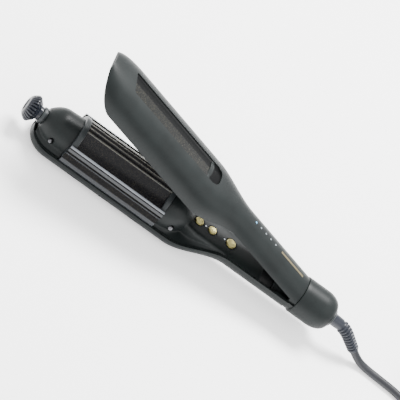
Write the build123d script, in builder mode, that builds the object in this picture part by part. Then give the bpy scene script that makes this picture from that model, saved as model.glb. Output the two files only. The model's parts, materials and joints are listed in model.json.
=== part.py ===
"""Hair crimper with a rotating three-profile drum in its lower arm and a slotted hood as its upper arm.

It lies on the underside of the lower arm, with the hood sprung open. +Z is up, the tip points to -X, the
lead leaves towards +X, and the origin is under the middle of the tool, on the table. Millimetres.
"""
from build123d import *
import os
from math import copysign, cos, pi, radians, sin, sqrt, tan

os.makedirs("parts", exist_ok=True)

# ---- Driving dimensions -------------------------------------------------------------------------------
drum_mid = -64.2            # middle of the drum's bay along X
drum_z = 23.0               # height of the drum's axis
handle_z = 28.5             # height of the handle's axis and of the hinge
open_angle = 16.7           # how far the hood stands open at rest
hinge_x = drum_mid + 183
wall = 1.5                  # thickness of the moulded shells
play = 0.2                  # gap between fixed mouldings
running = 0.06              # radial clearance of a shaft or pin in its bearing

jaw_half_width = 23.5       # lower arm around the drum
rim_z = 14.0                # open edge of the lower shell beside the drum
jaw_corner = 14.0
handle_radius = 16.4
handle_corner = handle_radius - 0.1
jaw_tip_x = drum_mid - 78
jaw_nose_end_x = drum_mid - 58
jaw_end_x = drum_mid + 65
handle_start_x = drum_mid + 118
shell_end_x = drum_mid + 179

hood_half_width = 27.5      # upper arm over the drum
hood_top = 17.4             # above the handle's axis
hood_rim = -6.0
hood_corner = 20.0
hood_nose = 272.0           # distances ahead of the hinge
hood_nose_start = 234.0
hood_jaw_end = 115.0
hood_handle_start = 80.0
handle_rim = 3.4
rear_edge = 1.6             # the hood's rear edge stands this far behind the hinge

bay_front = drum_mid - 47.5
bay_rear = drum_mid + 48.5
plates_front = drum_mid - 42.2
plates_rear = drum_mid + 43.9
ridge_radius = 20.5
collar_radius = 21.2
core_radius = 15.0
shaft_radius = 4.0
shaft_bore = 2.2
knob_front_x = drum_mid - 93.6
knob_rear_x = drum_mid - 82.2

slot_front = 242.0          # the hood's through-slot, ahead of the hinge
slot_rear = 128.0
slot_half_width = 9.0
press_inner_radius = 21.6
press_thickness = 1.2
plate_front = 228.4
plate_rear = 142.6

cap_front_x = drum_mid + 185
cap_radius = 17.2
cap_end_x = drum_mid + 220
ring_end_x = drum_mid + 222

button_travel = 0.8
panel_top_z = handle_z + 1.2
panel_half_width = 14.0
panel_end_x = drum_mid + 148
board_top_z = 22.0
cord_radius = 3.5
relief_radius = 5.6

# ---- Planes ------------------------------------------------------------------------------------------
alpha = radians(open_angle)
hinge_point = (hinge_x, 0, handle_z)
drum_axis = Plane(origin=(0, 0, drum_z), x_dir=(0, 1, 0), z_dir=(1, 0, 0))
handle_axis = Plane(origin=(0, 0, handle_z), x_dir=(0, 1, 0), z_dir=(1, 0, 0))
arm = Plane(origin=hinge_point, x_dir=(0, 1, 0), z_dir=(cos(alpha), 0, -sin(alpha)))
arm_side = Plane(origin=hinge_point, x_dir=(cos(alpha), 0, -sin(alpha)), z_dir=(0, -1, 0))
arm_drum = Plane(
    origin=arm.from_local_coords((0, drum_z - handle_z, 0)), x_dir=(0, 1, 0), z_dir=arm.z_dir
)


def ahead(distance):
    """Cross-section plane of the upper arm, that far ahead of the hinge."""
    return arm.offset(-distance)


def polar(radius, angle):
    """Point on a circle, the angle in degrees from the +Y side up to +Z."""
    return (radius * cos(radians(angle)), radius * sin(radians(angle)))


def smooth(t):
    """Ease from 0 to 1 with level ends."""
    return t * t * (3 - 2 * t)


def between(a, b, t):
    return a + (b - a) * t


def save(piece, label):
    """Name a finished piece and write it to its own file."""
    piece.part.label = label
    export_step(piece.part, f"parts/{label}.step")


# ---- Hollow volumes that the two arms are cut from -------------------------------------------------------
def rounded_section(plane, half_width, bottom, top, corner, inset):
    """Rounded box section, drawn smaller by inset all round."""
    width = 2 * (half_width - inset)
    height = top - bottom - 2 * inset
    radius = min(corner - inset, width / 2 - 0.05, height / 2 - 0.05)
    with BuildSketch(plane) as section:
        with Locations((0, (top + bottom) / 2)):
            RectangleRounded(width, height, radius)
    return section.sketch


def base_section(x, inset):
    """Section of the lower arm at x, before its rim is cut."""
    if x < jaw_nose_end_x:
        share = sqrt(max(0.0, 1 - ((jaw_nose_end_x - x) / (jaw_nose_end_x - jaw_tip_x)) ** 2))
        half_width = between(3.0, jaw_half_width, share)
        return rounded_section(Plane.YZ.offset(x), half_width, 7 * (1 - share), 40, 0.6 * half_width, inset)
    t = smooth(min(1, max(0, (x - jaw_end_x) / (handle_start_x - jaw_end_x))))
    half_width = between(jaw_half_width, handle_radius, t)
    bottom = between(0, handle_z - handle_radius, t)
    corner = between(jaw_corner, handle_corner, t)
    return rounded_section(Plane.YZ.offset(x), half_width, bottom, between(40, 44.9, t), corner, inset)


def hood_section(distance, inset):
    """Section of the upper arm at that distance ahead of the hinge, before its rim is cut."""
    if distance > hood_nose_start:
        share = sqrt(1 - ((distance - hood_nose_start) / (hood_nose + 1 - hood_nose_start)) ** 2)
        half_width = between(6.0, hood_half_width, share)
        top = between(hood_top - 3.2, hood_top, share)
        return rounded_section(ahead(distance), half_width, -24, top, 0.72 * half_width, inset)
    t = smooth(min(1, max(0, (distance - hood_handle_start) / (hood_jaw_end - hood_handle_start))))
    half_width = between(handle_radius, hood_half_width, t)
    top = between(handle_radius, hood_top, t)
    corner = between(handle_corner, hood_corner, t)
    return rounded_section(ahead(distance), half_width, between(-16.4, -24, t), top, corner, inset)


def lofted(section, stations, inset):
    """Loft one stretch of an arm through its stations."""
    loft([section(station, inset) for station in stations], ruled=len(stations) == 2)


def spread(start, stop, count):
    """Evenly spaced stations from start to stop."""
    return [between(start, stop, i / (count - 1)) for i in range(count)]


def base_volume(inset):
    """Fill the lower arm's outline, drawn smaller by inset."""
    lofted(base_section, spread(jaw_tip_x + inset, jaw_nose_end_x, 6), inset)
    lofted(base_section, [jaw_nose_end_x, jaw_end_x], inset)
    lofted(base_section, spread(jaw_end_x, handle_start_x, 7), inset)
    lofted(base_section, [handle_start_x, shell_end_x], inset)


def hood_volume(inset):
    """Fill the upper arm's outline, drawn smaller by inset."""
    lofted(hood_section, [-10, hood_handle_start], inset)
    lofted(hood_section, spread(hood_handle_start, hood_jaw_end, 6), inset)
    lofted(hood_section, [hood_jaw_end, hood_nose_start], inset)
    lofted(hood_section, spread(hood_nose_start, hood_nose - inset, 7), inset)


with BuildPart() as base_outer:
    base_volume(0)
with BuildPart() as base_inner:
    base_volume(wall)
with BuildPart() as base_liner:
    base_volume(wall + play)
with BuildPart() as hood_outer:
    hood_volume(0)
with BuildPart() as hood_inner:
    hood_volume(wall)


def base_rim_cut(lift, mode=Mode.SUBTRACT):
    """Everything higher than the lower arm's rim, raised by lift."""
    sky = handle_z + 60
    with BuildSketch(Plane.XZ) as above:
        with BuildLine():
            start = (jaw_tip_x - 20, rim_z + lift)
            jaw = (jaw_end_x, rim_z + lift)
            handle = (handle_start_x, handle_z + lift)
            end = (shell_end_x + 20, handle_z + lift)
            Line(start, jaw)
            Spline(jaw, handle, tangents=[(1, 0), (1, 0)])
            Line(handle, end)
            Polyline(end, (end[0], sky), (start[0], sky), start)
        make_face()
    extrude(above.sketch, amount=60, both=True, mode=mode)


# ---- Lower arm ---------------------------------------------------------------------------------------
vent_positions = [drum_mid - 29, drum_mid + 2, drum_mid + 33]
vent_z = 7.5

with BuildPart() as lower_shell:
    add(base_outer.part)
    add(base_inner.part, mode=Mode.SUBTRACT)
    with Locations((shell_end_x, 0, handle_z)):
        Box(2 * wall + 2, 2 * (handle_radius - wall), 2 * (handle_radius - wall), mode=Mode.SUBTRACT)
    base_rim_cut(0)
    with BuildSketch(Plane.XZ):
        with Locations(*[(x, vent_z) for x in vent_positions]):
            SlotOverall(9, 1.6)
    extrude(amount=60, both=True, mode=Mode.SUBTRACT)
save(lower_shell, "lower_shell")

screw_rise = radians(50)    # how steeply the cover screws point up out of the flanks
screw_head_radius = 2.1
screw_well_radius = 2.5
screw_well_depth = 4.2
screw_length = 7.0
tip_screw_x = drum_mid - 61.5
rear_screw_x = drum_mid + 62.2


def screw_planes(x, reach):
    """The mouths of the two screw wells at x, on the near and far flanks."""
    return [
        Plane(origin=(x, side * reach, drum_z - 1), z_dir=(0, side * cos(screw_rise), sin(screw_rise)))
        for side in (-1, 1)
    ]


def screw_wells(x, reach):
    """Cut the wells and the screws' holes."""
    for plane in screw_planes(x, reach):
        with BuildSketch(plane.offset(-screw_well_depth)) as well:
            Circle(screw_well_radius)
        extrude(well.sketch, amount=screw_well_depth + 12, mode=Mode.SUBTRACT)
        with BuildSketch(plane.offset(-screw_well_depth)) as hole:
            Circle(1.1)
        extrude(hole.sketch, amount=-screw_length, mode=Mode.SUBTRACT)


bearing_radius = 5.9
neck_radius = 7.4
dome_front_x = drum_mid - 75

with BuildPart() as tip_cover:
    add(base_liner.part)
    with BuildSketch(drum_axis.offset(bay_front)):
        Polygon((-30, 12 - drum_z), (30, 12 - drum_z), (22, 15 - drum_z), (17.6, 0),
                (-17.6, 0), (-22, 15 - drum_z), align=None)
    extrude(amount=dome_front_x - bay_front, mode=Mode.INTERSECT)
    with BuildSketch(Plane.XZ):
        with BuildLine():
            nose = (dome_front_x, drum_z + 9)
            shoulder = (drum_mid - 62, drum_z + 17.4)
            back = (bay_front, drum_z + 18)
            Line((dome_front_x, drum_z), nose)
            Spline(nose, (drum_mid - 70.6, drum_z + 13.3), shoulder, tangents=[(0.3, 1), (1, 0.12)])
            Line(shoulder, back)
            Polyline(back, (bay_front, drum_z), (dome_front_x, drum_z))
        make_face()
    revolve(axis=Axis((0, 0, drum_z), (1, 0, 0)))
    with BuildSketch(drum_axis.offset(dome_front_x - 4)):
        Circle(bearing_radius)
    extrude(amount=14, mode=Mode.SUBTRACT)
    with BuildSketch(drum_axis.offset(dome_front_x + 10)):
        Circle(11)
    extrude(amount=bay_front - dome_front_x - 13, mode=Mode.SUBTRACT)
    with BuildSketch(drum_axis.offset(bay_front - 4)):
        Circle(shaft_radius + 0.6)
    extrude(amount=8, mode=Mode.SUBTRACT)
    screw_wells(tip_screw_x, 17.2)
save(tip_cover, "tip_cover")

button_specs = [
    ("power_button", drum_mid + 80.1, 4.65),
    ("raise_button", drum_mid + 93.6, 4.65),
    ("lower_button", drum_mid + 113.0, 5.25),
]
light_positions = [drum_mid + 86.9, drum_mid + 106.3]
light_radius = 0.8
dome_wall = 5.0
window_half_width = 12.2

with BuildPart() as control_cover:
    add(base_liner.part)
    base_rim_cut(0.6)
    base_rim_cut(-1.5, mode=Mode.INTERSECT)
    with BuildSketch(Plane.XY):
        with Locations(((bay_rear + panel_end_x) / 2, 0)):
            Rectangle(panel_end_x - bay_rear, 60)
    extrude(amount=60, mode=Mode.INTERSECT)
    with BuildSketch(Plane.XY):
        with Locations(((bay_rear + panel_end_x + 3) / 2, 0)):
            Rectangle(panel_end_x - bay_rear - 3, 2 * window_half_width)
    extrude(amount=60, mode=Mode.SUBTRACT)
    with BuildSketch(Plane.XZ):
        with BuildLine():
            dome_start = (bay_rear, drum_z + 20)
            dome_end = (drum_mid + 75.6, drum_z + 6)
            Line((bay_rear, drum_z), dome_start)
            Spline(dome_start, (drum_mid + 63, drum_z + 17.6), (drum_mid + 71, drum_z + 12.4), dome_end,
                   tangents=[(1, 0), (0.5, -1)])
            Polyline(dome_end, (dome_end[0], drum_z), (bay_rear, drum_z))
        make_face()
    revolve(axis=Axis((0, 0, drum_z), (1, 0, 0)))
    with BuildSketch(handle_axis.offset(drum_mid + 70)):
        with Locations((0, panel_top_z - handle_z - 3)):
            Rectangle(2 * panel_half_width, 6)
    extrude(amount=panel_end_x - drum_mid - 70)
    fillet(
        edges().filter_by(Axis.X).group_by(Axis.Z)[-1].filter_by(
            lambda e: abs(abs(e.center().Y) - panel_half_width) < 0.1
        ),
        1.0,
    )
    with BuildSketch(drum_axis.offset(bay_rear + 3)):
        Circle(bearing_radius + 5)
    extrude(amount=22, mode=Mode.SUBTRACT)
    with BuildSketch(drum_axis.offset(bay_rear + 3)):
        with Locations((0, -16)):
            Rectangle(2 * window_half_width - 4, 20)
    extrude(amount=40, mode=Mode.SUBTRACT)
    with BuildSketch(handle_axis.offset(drum_mid + 73)):
        with Locations((0, panel_top_z - handle_z - 1.8 - 6)):
            Rectangle(2 * window_half_width, 12)
    extrude(amount=panel_end_x - 2 - drum_mid - 73, mode=Mode.SUBTRACT)
    with BuildSketch(drum_axis.offset(bay_rear - 4)):
        Circle(bearing_radius)
    extrude(amount=8, mode=Mode.SUBTRACT)
    screw_wells(rear_screw_x, 18.2)
    for _, x, radius in button_specs:
        with BuildSketch(Plane.XY.offset(panel_top_z + 3)):
            with Locations((x, 0)):
                Circle(radius + 0.1)
        extrude(amount=-8, mode=Mode.SUBTRACT)
    with BuildSketch(Plane.XY.offset(panel_top_z + 3)):
        with Locations(*[(x, 0) for x in light_positions]):
            Circle(light_radius)
    extrude(amount=-8, mode=Mode.SUBTRACT)
save(control_cover, "control_cover")

for label, side in (("rail_left", -1), ("rail_right", 1)):
    with BuildPart() as rail:
        with BuildSketch(drum_axis.offset(bay_front)):
            lip = [(24.0, -9.0), (22.4, -9.0)]
            inner = [polar(22.3, a) for a in (-20, -10, 0, 10, 19, 28)]
            outer = [
                polar(r, a)
                for r, a in (
                    (23.6, 28), (24.0, 21), (24.2, 19), (24.2, 9), (23.4, 8), (23.4, 5.5), (24.2, 4.5),
                    (24.2, 0), (23.2, -2), (22.9, -11), (23.2, -18),
                )
            ]
            points = lip + inner + outer
            Polygon(*[(side * y, z) for y, z in points], align=None)
        extrude(amount=bay_rear - bay_front)
    save(rail, label)

with BuildPart() as cover_screws:
    for x, reach in ((tip_screw_x, 17.2), (rear_screw_x, 18.2)):
        for plane in screw_planes(x, reach):
            with BuildSketch(plane.offset(-screw_well_depth)):
                Circle(screw_head_radius)
            extrude(amount=1.6)
            with BuildSketch(plane.offset(-screw_well_depth)):
                Circle(1.1)
            extrude(amount=-screw_length)
            with BuildSketch(plane.offset(-screw_well_depth + 1.6)):
                Rectangle(2.8, 0.6)
                Rectangle(0.6, 2.8)
            extrude(amount=-0.8, mode=Mode.SUBTRACT)
save(cover_screws, "cover_screws")

with BuildPart() as front_bearing:
    with BuildSketch(drum_axis.offset(dome_front_x - 4.2)):
        Circle(neck_radius)
    extrude(amount=4.2)
    with BuildSketch(drum_axis.offset(dome_front_x)):
        Circle(bearing_radius)
    extrude(amount=9)
    with BuildSketch(drum_axis.offset(dome_front_x - 5)):
        Circle(shaft_radius + running)
    extrude(amount=20, mode=Mode.SUBTRACT)
save(front_bearing, "front_bearing")

with BuildPart() as rear_bearing:
    with BuildSketch(drum_axis.offset(bay_rear + 0.1)):
        Circle(bearing_radius)
    extrude(amount=2.9)
    with BuildSketch(drum_axis.offset(bay_rear + 3)):
        Circle(neck_radius)
    extrude(amount=2)
    with BuildSketch(drum_axis.offset(bay_rear - 5)):
        Circle(shaft_radius + running)
    extrude(amount=20, mode=Mode.SUBTRACT)
save(rear_bearing, "rear_bearing")

# ---- Drum --------------------------------------------------------------------------------------------
detent_x = drum_mid + 56.5
detent_radius = 9.0
notches = 12

with BuildPart() as drum_shaft:
    with BuildSketch(drum_axis.offset(knob_front_x + 4)):
        Circle(shaft_radius)
        Circle(shaft_bore, mode=Mode.SUBTRACT)
    extrude(amount=detent_x + 6 - knob_front_x - 4)
save(drum_shaft, "drum_shaft")

pocket_width = 12.0         # the core's three flats, where its heaters lie
heater_length = 60.0
with BuildPart() as drum_core:
    with BuildSketch(drum_axis.offset(plates_front)):
        Circle(core_radius)
        Circle(shaft_radius, mode=Mode.SUBTRACT)
        with PolarLocations(core_radius - 2, 3, start_angle=90):
            Rectangle(4.0, pocket_width, mode=Mode.SUBTRACT)
    extrude(amount=plates_rear - plates_front)
save(drum_core, "drum_core")

with BuildPart() as drum_heaters:
    with BuildSketch(drum_axis.offset(drum_mid - heater_length / 2)):
        with PolarLocations(core_radius - 2.8, 3, start_angle=90):
            Rectangle(2.2, pocket_width - 0.6)
    extrude(amount=heater_length)
save(drum_heaters, "drum_heaters")


def wave(radius, depth, start, stop, waves, steps, shape):
    """Points of a waved outline from one angle to another; shape maps a wave's phase to its dip."""
    count = waves * steps
    angles = [between(start, stop, i / count) for i in range(count + 1)]
    return [polar(radius - depth * shape((i / steps) % 1), a) for i, a in enumerate(angles)]


def trough(phase):
    """One round valley between two narrow crests."""
    return sin(pi * phase) ** 0.7


def notch(phase):
    """One straight-sided valley."""
    return 1 - abs(2 * phase - 1)


def ripple(phase):
    return (1 - cos(2 * pi * phase)) / 2


# Angles run from the +Y side over the top to the -Y side. The two deep troughs face up and to -Y.
drum_profiles = [
    ("deep_wave_plate", 104.0, 206.0, 2, 8, 3.4, trough),
    ("crimp_plate", -22.0, 104.0, 9, 2, 2.6, notch),
    ("fine_wave_plate", 206.0, 338.0, 5, 6, 2.6, ripple),
]
for label, start, stop, waves, steps, depth, shape in drum_profiles:
    with BuildPart() as drum_plate:
        with BuildSketch(drum_axis.offset(plates_front)):
            crest = wave(ridge_radius, depth, start + 0.3, stop - 0.3, waves, steps, shape)
            with BuildLine():
                Polyline(*crest)
                Line(crest[-1], polar(core_radius, stop - 0.3))
                ThreePointArc(
                    polar(core_radius, stop - 0.3),
                    polar(core_radius, (start + stop) / 2),
                    polar(core_radius, start + 0.3),
                )
                Line(polar(core_radius, start + 0.3), crest[0])
            make_face()
        extrude(amount=plates_rear - plates_front)
    save(drum_plate, label)

for label, start, stop in (
    ("drum_collar_front", bay_front + 0.5, plates_front),
    ("drum_collar_rear", plates_rear, bay_rear - 0.5),
):
    with BuildPart() as collar:
        with BuildSketch(drum_axis.offset(start)):
            Circle(collar_radius)
            Circle(shaft_radius, mode=Mode.SUBTRACT)
        extrude(amount=stop - start)
        fillet(edges().filter_by(GeomType.CIRCLE).filter_by(lambda e: e.radius > 20), 0.6)
    save(collar, label)

with BuildPart() as knob:
    with BuildSketch(Plane.XZ):
        Polygon(
            (knob_front_x, drum_z), (knob_front_x, drum_z + 7), (knob_front_x + 0.8, drum_z + 8.6),
            (knob_front_x + 4.6, drum_z + 11.9), (knob_front_x + 7.4, drum_z + 11.9),
            (knob_rear_x, drum_z + 8), (knob_rear_x, drum_z), align=None,
        )
    revolve(axis=Axis((0, 0, drum_z), (1, 0, 0)))
    with BuildSketch(drum_axis.offset(knob_front_x + 1.6)):
        with PolarLocations(12.3, 28):
            Rectangle(1.4, 1.0, rotation=45)
    extrude(amount=8.2, mode=Mode.SUBTRACT)
    with BuildSketch(drum_axis.offset(knob_front_x + 4)):
        Circle(shaft_radius)
    extrude(amount=20, mode=Mode.SUBTRACT)
save(knob, "knob")

with BuildPart() as detent_wheel:
    with BuildSketch(drum_axis.offset(detent_x)):
        Circle(detent_radius)
        Circle(shaft_radius, mode=Mode.SUBTRACT)
        with PolarLocations(detent_radius + 0.3, notches, start_angle=-90):
            Circle(1.5, mode=Mode.SUBTRACT)
    extrude(amount=4)
save(detent_wheel, "detent_wheel")

with BuildPart() as detent_spring:
    with BuildSketch(Plane.XZ):
        with BuildLine():
            left = detent_x - 3
            right = detent_x + 10
            leaf = drum_z - detent_radius - 0.4
            FilletPolyline((left, leaf), (right, leaf), (right, wall), (right - 5, wall), radius=1.2)
            offset(amount=0.3)
        make_face()
    extrude(amount=3, both=True)
    with BuildSketch(Plane.XZ):
        with Locations((detent_x + 2, leaf + 0.2)):
            Circle(0.9)
    extrude(amount=0.8, both=True)
    with BuildSketch(Plane.XY):
        Rectangle(400, 40)
    extrude(amount=wall, mode=Mode.SUBTRACT)
save(detent_spring, "detent_spring")

# ---- Buttons and electronics in the handle -----------------------------------------------------------
for label, x, radius in button_specs:
    with BuildPart() as button:
        with BuildSketch(Plane.XY.offset(panel_top_z - 2.3)):
            with Locations((x, 0)):
                Circle(radius - 0.1)
        extrude(amount=3.2)
        fillet(faces().sort_by(Axis.Z)[-1].edges(), 0.7)
        with BuildSketch(Plane.XY.offset(panel_top_z - 3.2)):
            with Locations((x, 0)):
                Circle(radius + 0.6)
        extrude(amount=1.0)
        with BuildSketch(Plane.XY.offset(board_top_z + 2.6 + button_travel + 0.15)):
            with Locations((x, 0)):
                Circle(2)
        extrude(amount=2)
    save(button, label)

with BuildPart() as control_board:
    with BuildSketch(Plane.XY.offset(board_top_z)):
        with Locations((drum_mid + 111, 0)):
            Rectangle(68, 22)
    extrude(amount=-1.6)
save(control_board, "control_board")

with BuildPart() as switches:
    for _, x, _ in button_specs:
        with Locations((x, 0, board_top_z)):
            Box(6, 6, 1.6, align=(Align.CENTER, Align.CENTER, Align.MIN))
        with BuildSketch(Plane.XY.offset(board_top_z + 1.6)):
            with Locations((x, 0)):
                Circle(1.6)
        extrude(amount=1.0)
save(switches, "switches")

with BuildPart() as panel_lights:
    with BuildSketch(Plane.XY.offset(board_top_z)):
        with Locations(*[(x, 0) for x in light_positions]):
            Circle(light_radius)
    extrude(amount=panel_top_z + 0.15 - board_top_z)
save(panel_lights, "panel_lights")

with BuildPart() as thermal_fuse:
    with BuildSketch(Plane.YZ.offset(drum_mid + 122)):
        with Locations((5, 16.8)):
            Circle(1.9)
    extrude(amount=10)
    with BuildSketch(Plane.YZ.offset(drum_mid + 116)):
        with Locations((5, 16.8)):
            Circle(0.5)
    extrude(amount=22)
save(thermal_fuse, "thermal_fuse")

# ---- Hinge -------------------------------------------------------------------------------------------
pin_radius = 2.5
ear_inner = 10.0
ear_outer = 12.4
frame_radius = handle_radius - wall
sleeve_radius = 14.3

with BuildPart() as hinge_frame:
    with BuildSketch(handle_axis.offset(drum_mid + 166)):
        Circle(frame_radius - 0.05)
        Circle(frame_radius - 2, mode=Mode.SUBTRACT)
        with Locations((0, 10)):
            Rectangle(40, 20, mode=Mode.SUBTRACT)
    extrude(amount=cap_front_x - drum_mid - 166)
    with BuildSketch(handle_axis.offset(shell_end_x + 0.2)):
        Circle(handle_radius - 0.5)
        Circle(frame_radius - 2, mode=Mode.SUBTRACT)
        with Locations((0, 10)):
            Rectangle(40, 20, mode=Mode.SUBTRACT)
    extrude(amount=cap_front_x - shell_end_x - 0.2)
    with BuildSketch(handle_axis.offset(drum_mid + 178.5)):
        Circle(sleeve_radius)
        Circle(sleeve_radius - 1.4, mode=Mode.SUBTRACT)
        with Locations((0, -10)):
            Rectangle(40, 20, mode=Mode.SUBTRACT)
    extrude(amount=cap_front_x - drum_mid - 178.5)
    for side in (-1, 1):
        with BuildSketch(Plane.XZ.offset(side * (ear_inner + ear_outer) / 2)):
            with Locations((hinge_x, handle_z)):
                Circle(4.2)
            with Locations((hinge_x - 1.1, handle_z - 3.9)):
                Rectangle(6.2, 7.8)
        extrude(amount=(ear_outer - ear_inner) / 2, both=True)
    with BuildSketch(Plane.XZ):
        with Locations((hinge_x, handle_z)):
            Circle(pin_radius)
    extrude(amount=13, both=True, mode=Mode.SUBTRACT)
save(hinge_frame, "hinge_frame")

with BuildPart() as hinge_pin:
    with BuildSketch(Plane.XZ):
        with Locations((hinge_x, handle_z)):
            Circle(pin_radius)
    extrude(amount=ear_outer, both=True)
    chamfer(edges().filter_by(GeomType.CIRCLE), 0.4)
save(hinge_pin, "hinge_pin")

spring_radius = 5.2
spring_wire = 0.6           # radius
spring_pitch = 1.9
spring_turns = 5
spring_leg = 14
with BuildPart() as arm_spring:
    with BuildLine():
        coil_path = Helix(
            pitch=spring_pitch,
            height=spring_turns * spring_pitch,
            radius=spring_radius,
            center=(hinge_x, spring_turns * spring_pitch / 2, handle_z),
            direction=(0, -1, 0),
        )
    with BuildSketch(Plane(origin=coil_path @ 0, z_dir=coil_path % 0)):
        Circle(spring_wire)
    sweep(is_frenet=True)
    for share, reach in ((0, -spring_leg), (1, spring_leg)):
        with BuildSketch(Plane(origin=coil_path @ share, z_dir=coil_path % share)):
            Circle(spring_wire)
        extrude(amount=reach)
save(arm_spring, "arm_spring")

cap_mouth = 13.6
with BuildPart() as end_cap:
    with BuildSketch(Plane.XZ):
        with BuildLine():
            straight_end = (drum_mid + 206, handle_z + cap_radius)
            crown = (cap_end_x, handle_z + 8)
            Polyline((cap_front_x, handle_z + cap_mouth), (cap_front_x, handle_z + cap_radius), straight_end)
            Spline(straight_end, (drum_mid + 215, handle_z + 14.2), crown, tangents=[(1, 0), (0.35, -1)])
            Polyline(crown, (cap_end_x, handle_z + 3.6), (cap_end_x - 2, handle_z + 3.6))
            Polyline((cap_end_x - 2, handle_z + 3.6), (cap_end_x - 4, handle_z + 10),
                     (drum_mid + 208, handle_z + 14.6), (cap_front_x + 2, handle_z + 14.6),
                     (cap_front_x + 2, handle_z + cap_mouth), (cap_front_x, handle_z + cap_mouth))
        make_face()
    revolve(axis=Axis((0, 0, handle_z), (1, 0, 0)))
save(end_cap, "end_cap")

with BuildPart() as end_ring:
    with BuildSketch(handle_axis.offset(cap_end_x)):
        Circle(8)
        Circle(cord_radius + 0.1, mode=Mode.SUBTRACT)
    extrude(amount=ring_end_x - cap_end_x)
    fillet(faces().sort_by(Axis.X)[-1].edges().sort_by(SortBy.LENGTH)[-1], 0.6)
save(end_ring, "end_ring")

# ---- Upper arm ---------------------------------------------------------------------------------------
lamp_distances = [77.7, 70.9, 64.1, 57.4, 50.6]
lamp_radius = 0.8
trim_start = 12.0
trim_length = 30.0
trim_half_width = 1.0
upper_ear_inner = 7.0
upper_ear_outer = 9.5

arm_top = Plane(origin=hinge_point, x_dir=arm_side.x_dir, z_dir=(sin(alpha), 0, cos(alpha)))
lamp_plane = arm_top.offset(handle_radius + 0.15)

with BuildPart() as upper_shell:
    add(hood_outer.part)
    add(hood_inner.part, mode=Mode.SUBTRACT)
    with BuildSketch(arm_side):
        with BuildLine():
            rim_start = (12, handle_rim)
            rim_handle = (-hood_handle_start, handle_rim)
            rim_jaw = (-hood_jaw_end, hood_rim)
            rim_nose = (-238, hood_rim)
            nose_top = (-276, 14.5)
            Line(rim_start, rim_handle)
            Spline(rim_handle, rim_jaw, tangents=[(-1, 0), (-1, 0)])
            Line(rim_jaw, rim_nose)
            Spline(rim_nose, (-257, 3.6), (-267.5, 10.2), nose_top, tangents=[(-1, 0), (-1, 0.5)])
            Polyline(nose_top, (-290, 14.5), (-290, -60), (12, -60), rim_start)
        make_face()
    extrude(amount=60, both=True, mode=Mode.SUBTRACT)
    for side in (-1, 1):
        with BuildSketch(arm_side.offset(side * (upper_ear_inner + upper_ear_outer) / 2)):
            Circle(4)
            with Locations((-9, 0)):
                Rectangle(18, 6)
            with Locations((-15, 6.6)):
                Rectangle(6, 13.2)
        extrude(amount=(upper_ear_outer - upper_ear_inner) / 2, both=True)
    with BuildSketch(arm_side):
        Circle(pin_radius + running)
    extrude(amount=20, both=True, mode=Mode.SUBTRACT)
    with BuildSketch(Plane.YZ.offset(hinge_x + rear_edge)):
        with Locations((0, handle_z)):
            Rectangle(80, 80)
    extrude(amount=40, mode=Mode.SUBTRACT)
    with BuildSketch(arm_top):
        with Locations((-(slot_front + slot_rear) / 2, 0)):
            RectangleRounded(slot_front - slot_rear, 2 * slot_half_width, 6)
    extrude(amount=40, mode=Mode.SUBTRACT)
    with BuildSketch(lamp_plane):
        with Locations(*[(-d, 0) for d in lamp_distances]):
            Circle(lamp_radius)
    extrude(amount=-4, mode=Mode.SUBTRACT)
    with BuildSketch(arm_top.offset(handle_radius - 0.4)):
        with Locations((-(trim_start + trim_length / 2), 0)):
            Rectangle(trim_length, 2 * trim_half_width)
    extrude(amount=2, mode=Mode.SUBTRACT)
save(upper_shell, "upper_shell")

with BuildPart() as trim_line:
    with BuildSketch(arm_top.offset(handle_radius - 0.4)):
        with Locations((-(trim_start + trim_length / 2), 0)):
            Rectangle(trim_length, 2 * trim_half_width)
    extrude(amount=0.45)
save(trim_line, "trim_line")

with BuildPart() as temperature_lights:
    with BuildSketch(lamp_plane):
        with Locations(*[(-d, 0) for d in lamp_distances]):
            Circle(lamp_radius)
    extrude(amount=-3)
save(temperature_lights, "temperature_lights")

with BuildPart() as light_board:
    with BuildSketch(lamp_plane.offset(-3)):
        with Locations((-64, 0)):
            Rectangle(38, 10)
    extrude(amount=-1.2)
save(light_board, "light_board")


def arm_ring(start, stop, inner, outer, first, last):
    """Part of a ring about the drum's axis as it lies when the hood is closed, between two angles."""
    with BuildSketch(arm_drum.offset(-start)) as ring:
        with BuildLine():
            ThreePointArc(polar(inner, first), polar(inner, (first + last) / 2), polar(inner, last))
            Line(polar(inner, last), polar(outer, last))
            ThreePointArc(polar(outer, last), polar(outer, (first + last) / 2), polar(outer, first))
            Line(polar(outer, first), polar(inner, first))
        make_face()
    extrude(ring.sketch, amount=start - stop)


press_low = 35.0
press_high = 62.0
for label, first, last in (
    ("plate_left", 180 - press_high, 180 - press_low),
    ("plate_right", press_low, press_high),
):
    with BuildPart() as press_plate:
        outer = press_inner_radius + press_thickness
        arm_ring(plate_front, plate_rear, press_inner_radius, outer, first, last)
    save(press_plate, label)

rim_width = 4.1
rim_outer = press_inner_radius + 1.0
rim_low = 33.0
with BuildPart() as plate_rim_front:
    for first, last in ((rim_low, press_high), (180 - press_high, 180 - rim_low)):
        start = plate_front + 0.1 + rim_width
        arm_ring(start, start - rim_width, press_inner_radius, rim_outer, first, last)
save(plate_rim_front, "plate_rim_front")

with BuildPart() as plate_rim_rear:
    start = plate_rear - 0.1
    arm_ring(start, start - rim_width, press_inner_radius, rim_outer, rim_low, 180 - rim_low)
save(plate_rim_rear, "plate_rim_rear")

heater_middle = 45.0
for label, middle in (("heater_left", 180 - heater_middle), ("heater_right", heater_middle)):
    with BuildPart() as heater:
        with BuildSketch(arm_drum.offset(-215)):
            with PolarLocations(press_inner_radius + press_thickness + 0.85, 1, start_angle=middle):
                Rectangle(1.2, 6)
        extrude(amount=60)
    save(heater, label)

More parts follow.
